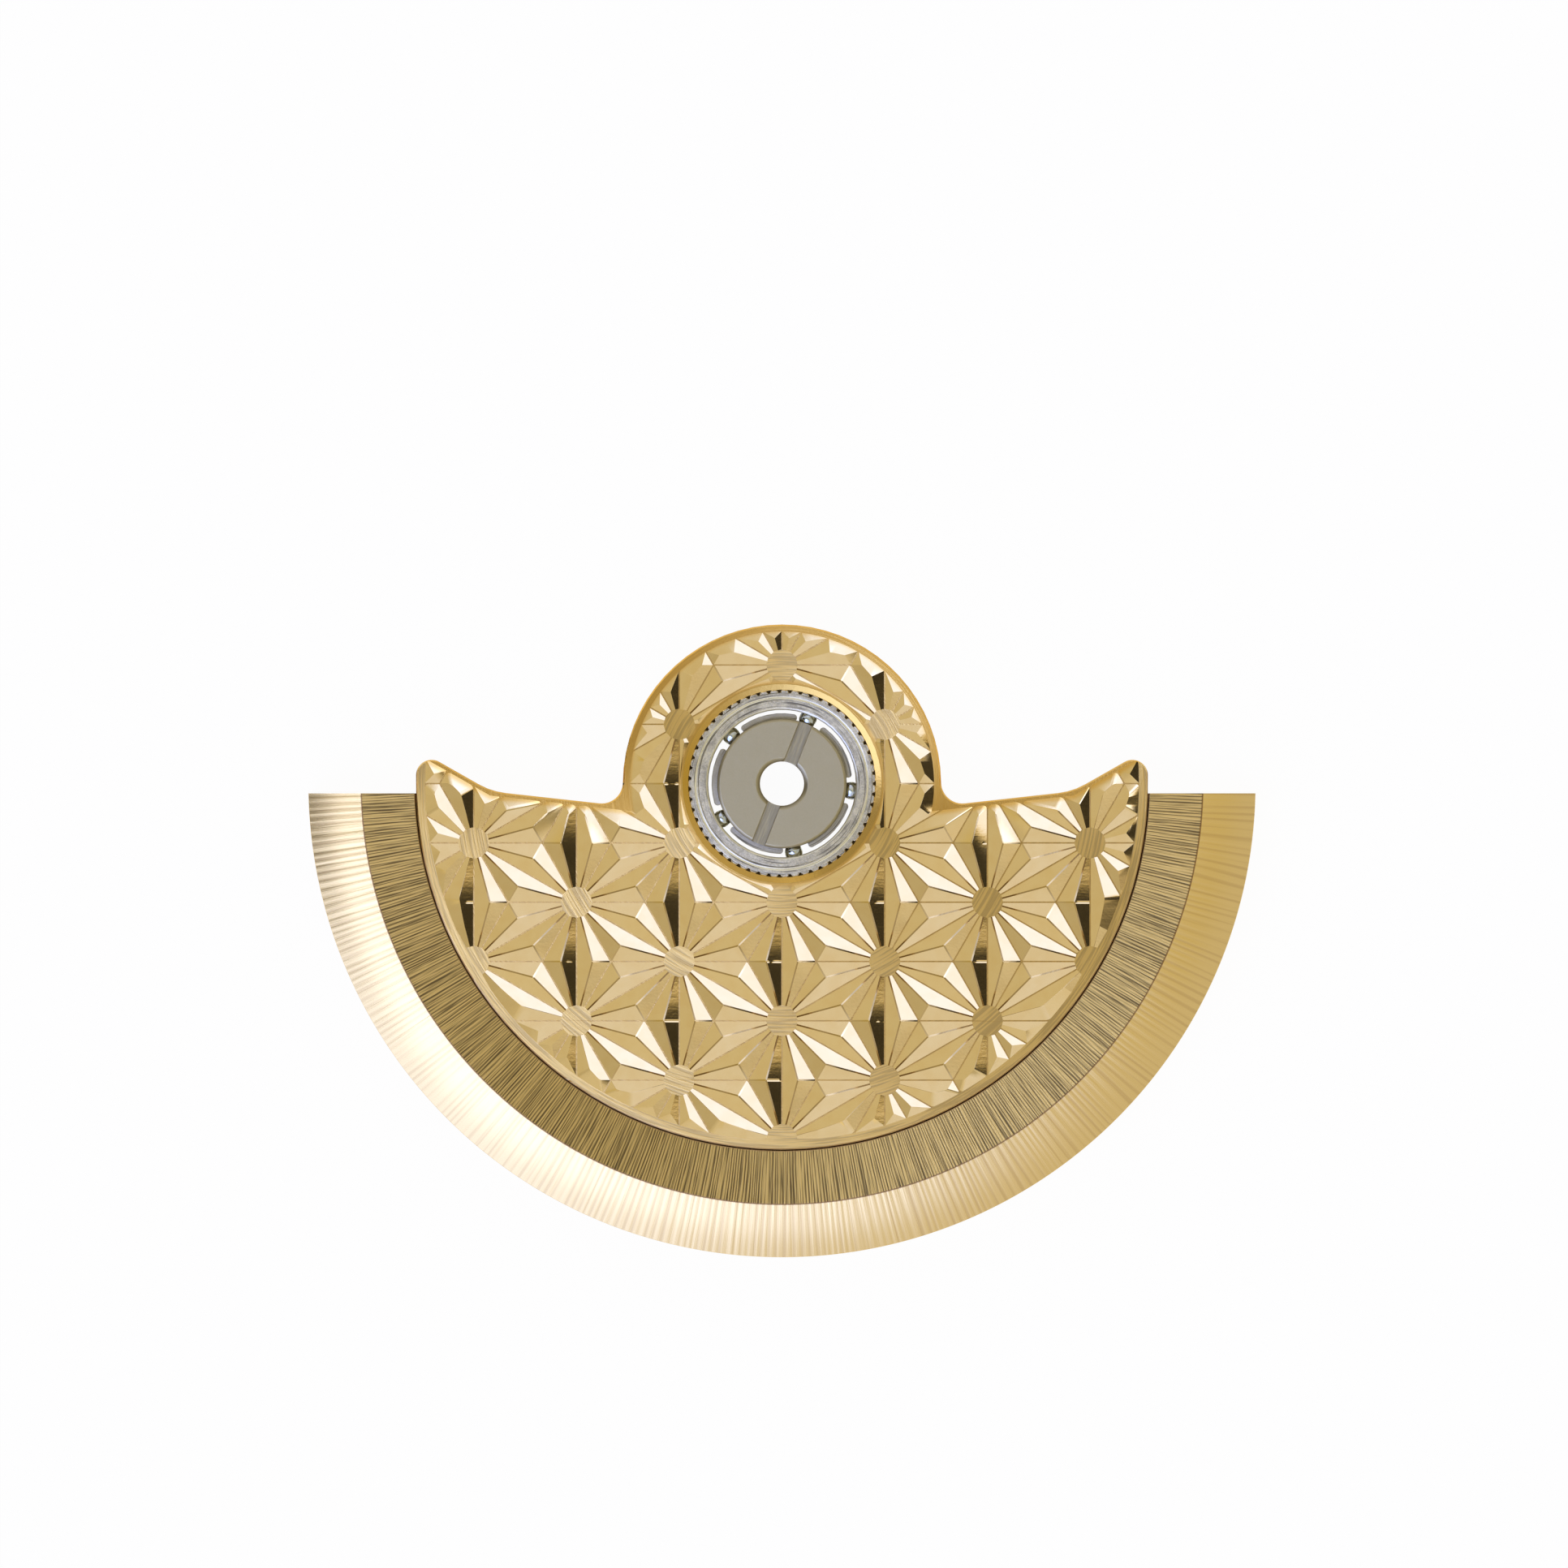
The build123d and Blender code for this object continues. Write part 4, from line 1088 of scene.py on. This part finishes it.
def lay_table(material):
    """Level table just under the rim's foot."""
    half, level = TABLE_HALF, RIM_LOW.z - TABLE_GAP
    mesh = bpy.data.meshes.new("table")
    corners = [(-half, -half, level), (half, -half, level), (half, half, level), (-half, half, level)]
    mesh.from_pydata(corners, [], [(0, 1, 2, 3)])
    mesh.materials.append(material)
    placed("table", mesh)


def place_camera():
    """Camera straight above, with the photograph's field."""
    camera = bpy.data.cameras.new("camera")
    camera.sensor_width = SENSOR
    camera.lens = SENSOR * (CAMERA_HEIGHT - PLATE_HIGH.z) / PHOTO_FIELD
    camera.clip_start, camera.clip_end = CAMERA_REACH
    holder = placed("camera", camera)
    holder.location = (*CAMERA_OFFSET, CAMERA_HEIGHT)
    bpy.context.scene.camera = holder


TURNING = turning_tree()
TEETH = teeth_tree()

ring_finish = turned_metal("ring_steel", colour=(0.77, 0.67, 0.42, 1), dark=(0.42, 0.36, 0.23, 1),
                           roughness=0.34, rings=0.004, grains=0.005)
# The cage's colour is partly its own and partly painted light, lifting it out of the shade it sits in below
# the ring's face
cage_finish = turned_metal("cage_steel", colour=(0.62, 0.55, 0.38, 1), dark=(0.5, 0.44, 0.3, 1),
                           roughness=0.3, rings=0.0005, grains=0.001)
# The gear's dark colour is partly painted shade, for the deep gaps between the knurl's teeth where it shows
gear_finish = turned_metal("gear_brass", colour=(0.5, 0.36, 0.17, 1), dark=(0.4, 0.28, 0.12, 1),
                           roughness=0.5, rings=0.003, grains=0.002)
rivet_finish = turned_metal("rivet_steel", colour=(0.62, 0.6, 0.57, 1), dark=(0.5, 0.48, 0.45, 1),
                            roughness=0.25, rings=0.001, grains=0.001)

make_plate(gilt_relief())
make_rim(gilt_rim())
make_balls(polished_steel())
make_screw(screw_steel())
make_outer_ring(ring_finish)
make_gear(gear_finish)
make_rivets(rivet_finish)
edged("cage", "ball_cage", cage_finish, "cage")
edged("cover_ring", "race_cover_ring", ring_finish, "rotor")
edged("lower_cone", "lower_cone_ring", ring_finish, "core")
studio_light()
lay_table(white_table())
place_camera()
bpy.context.scene.view_settings.view_transform = "Standard"
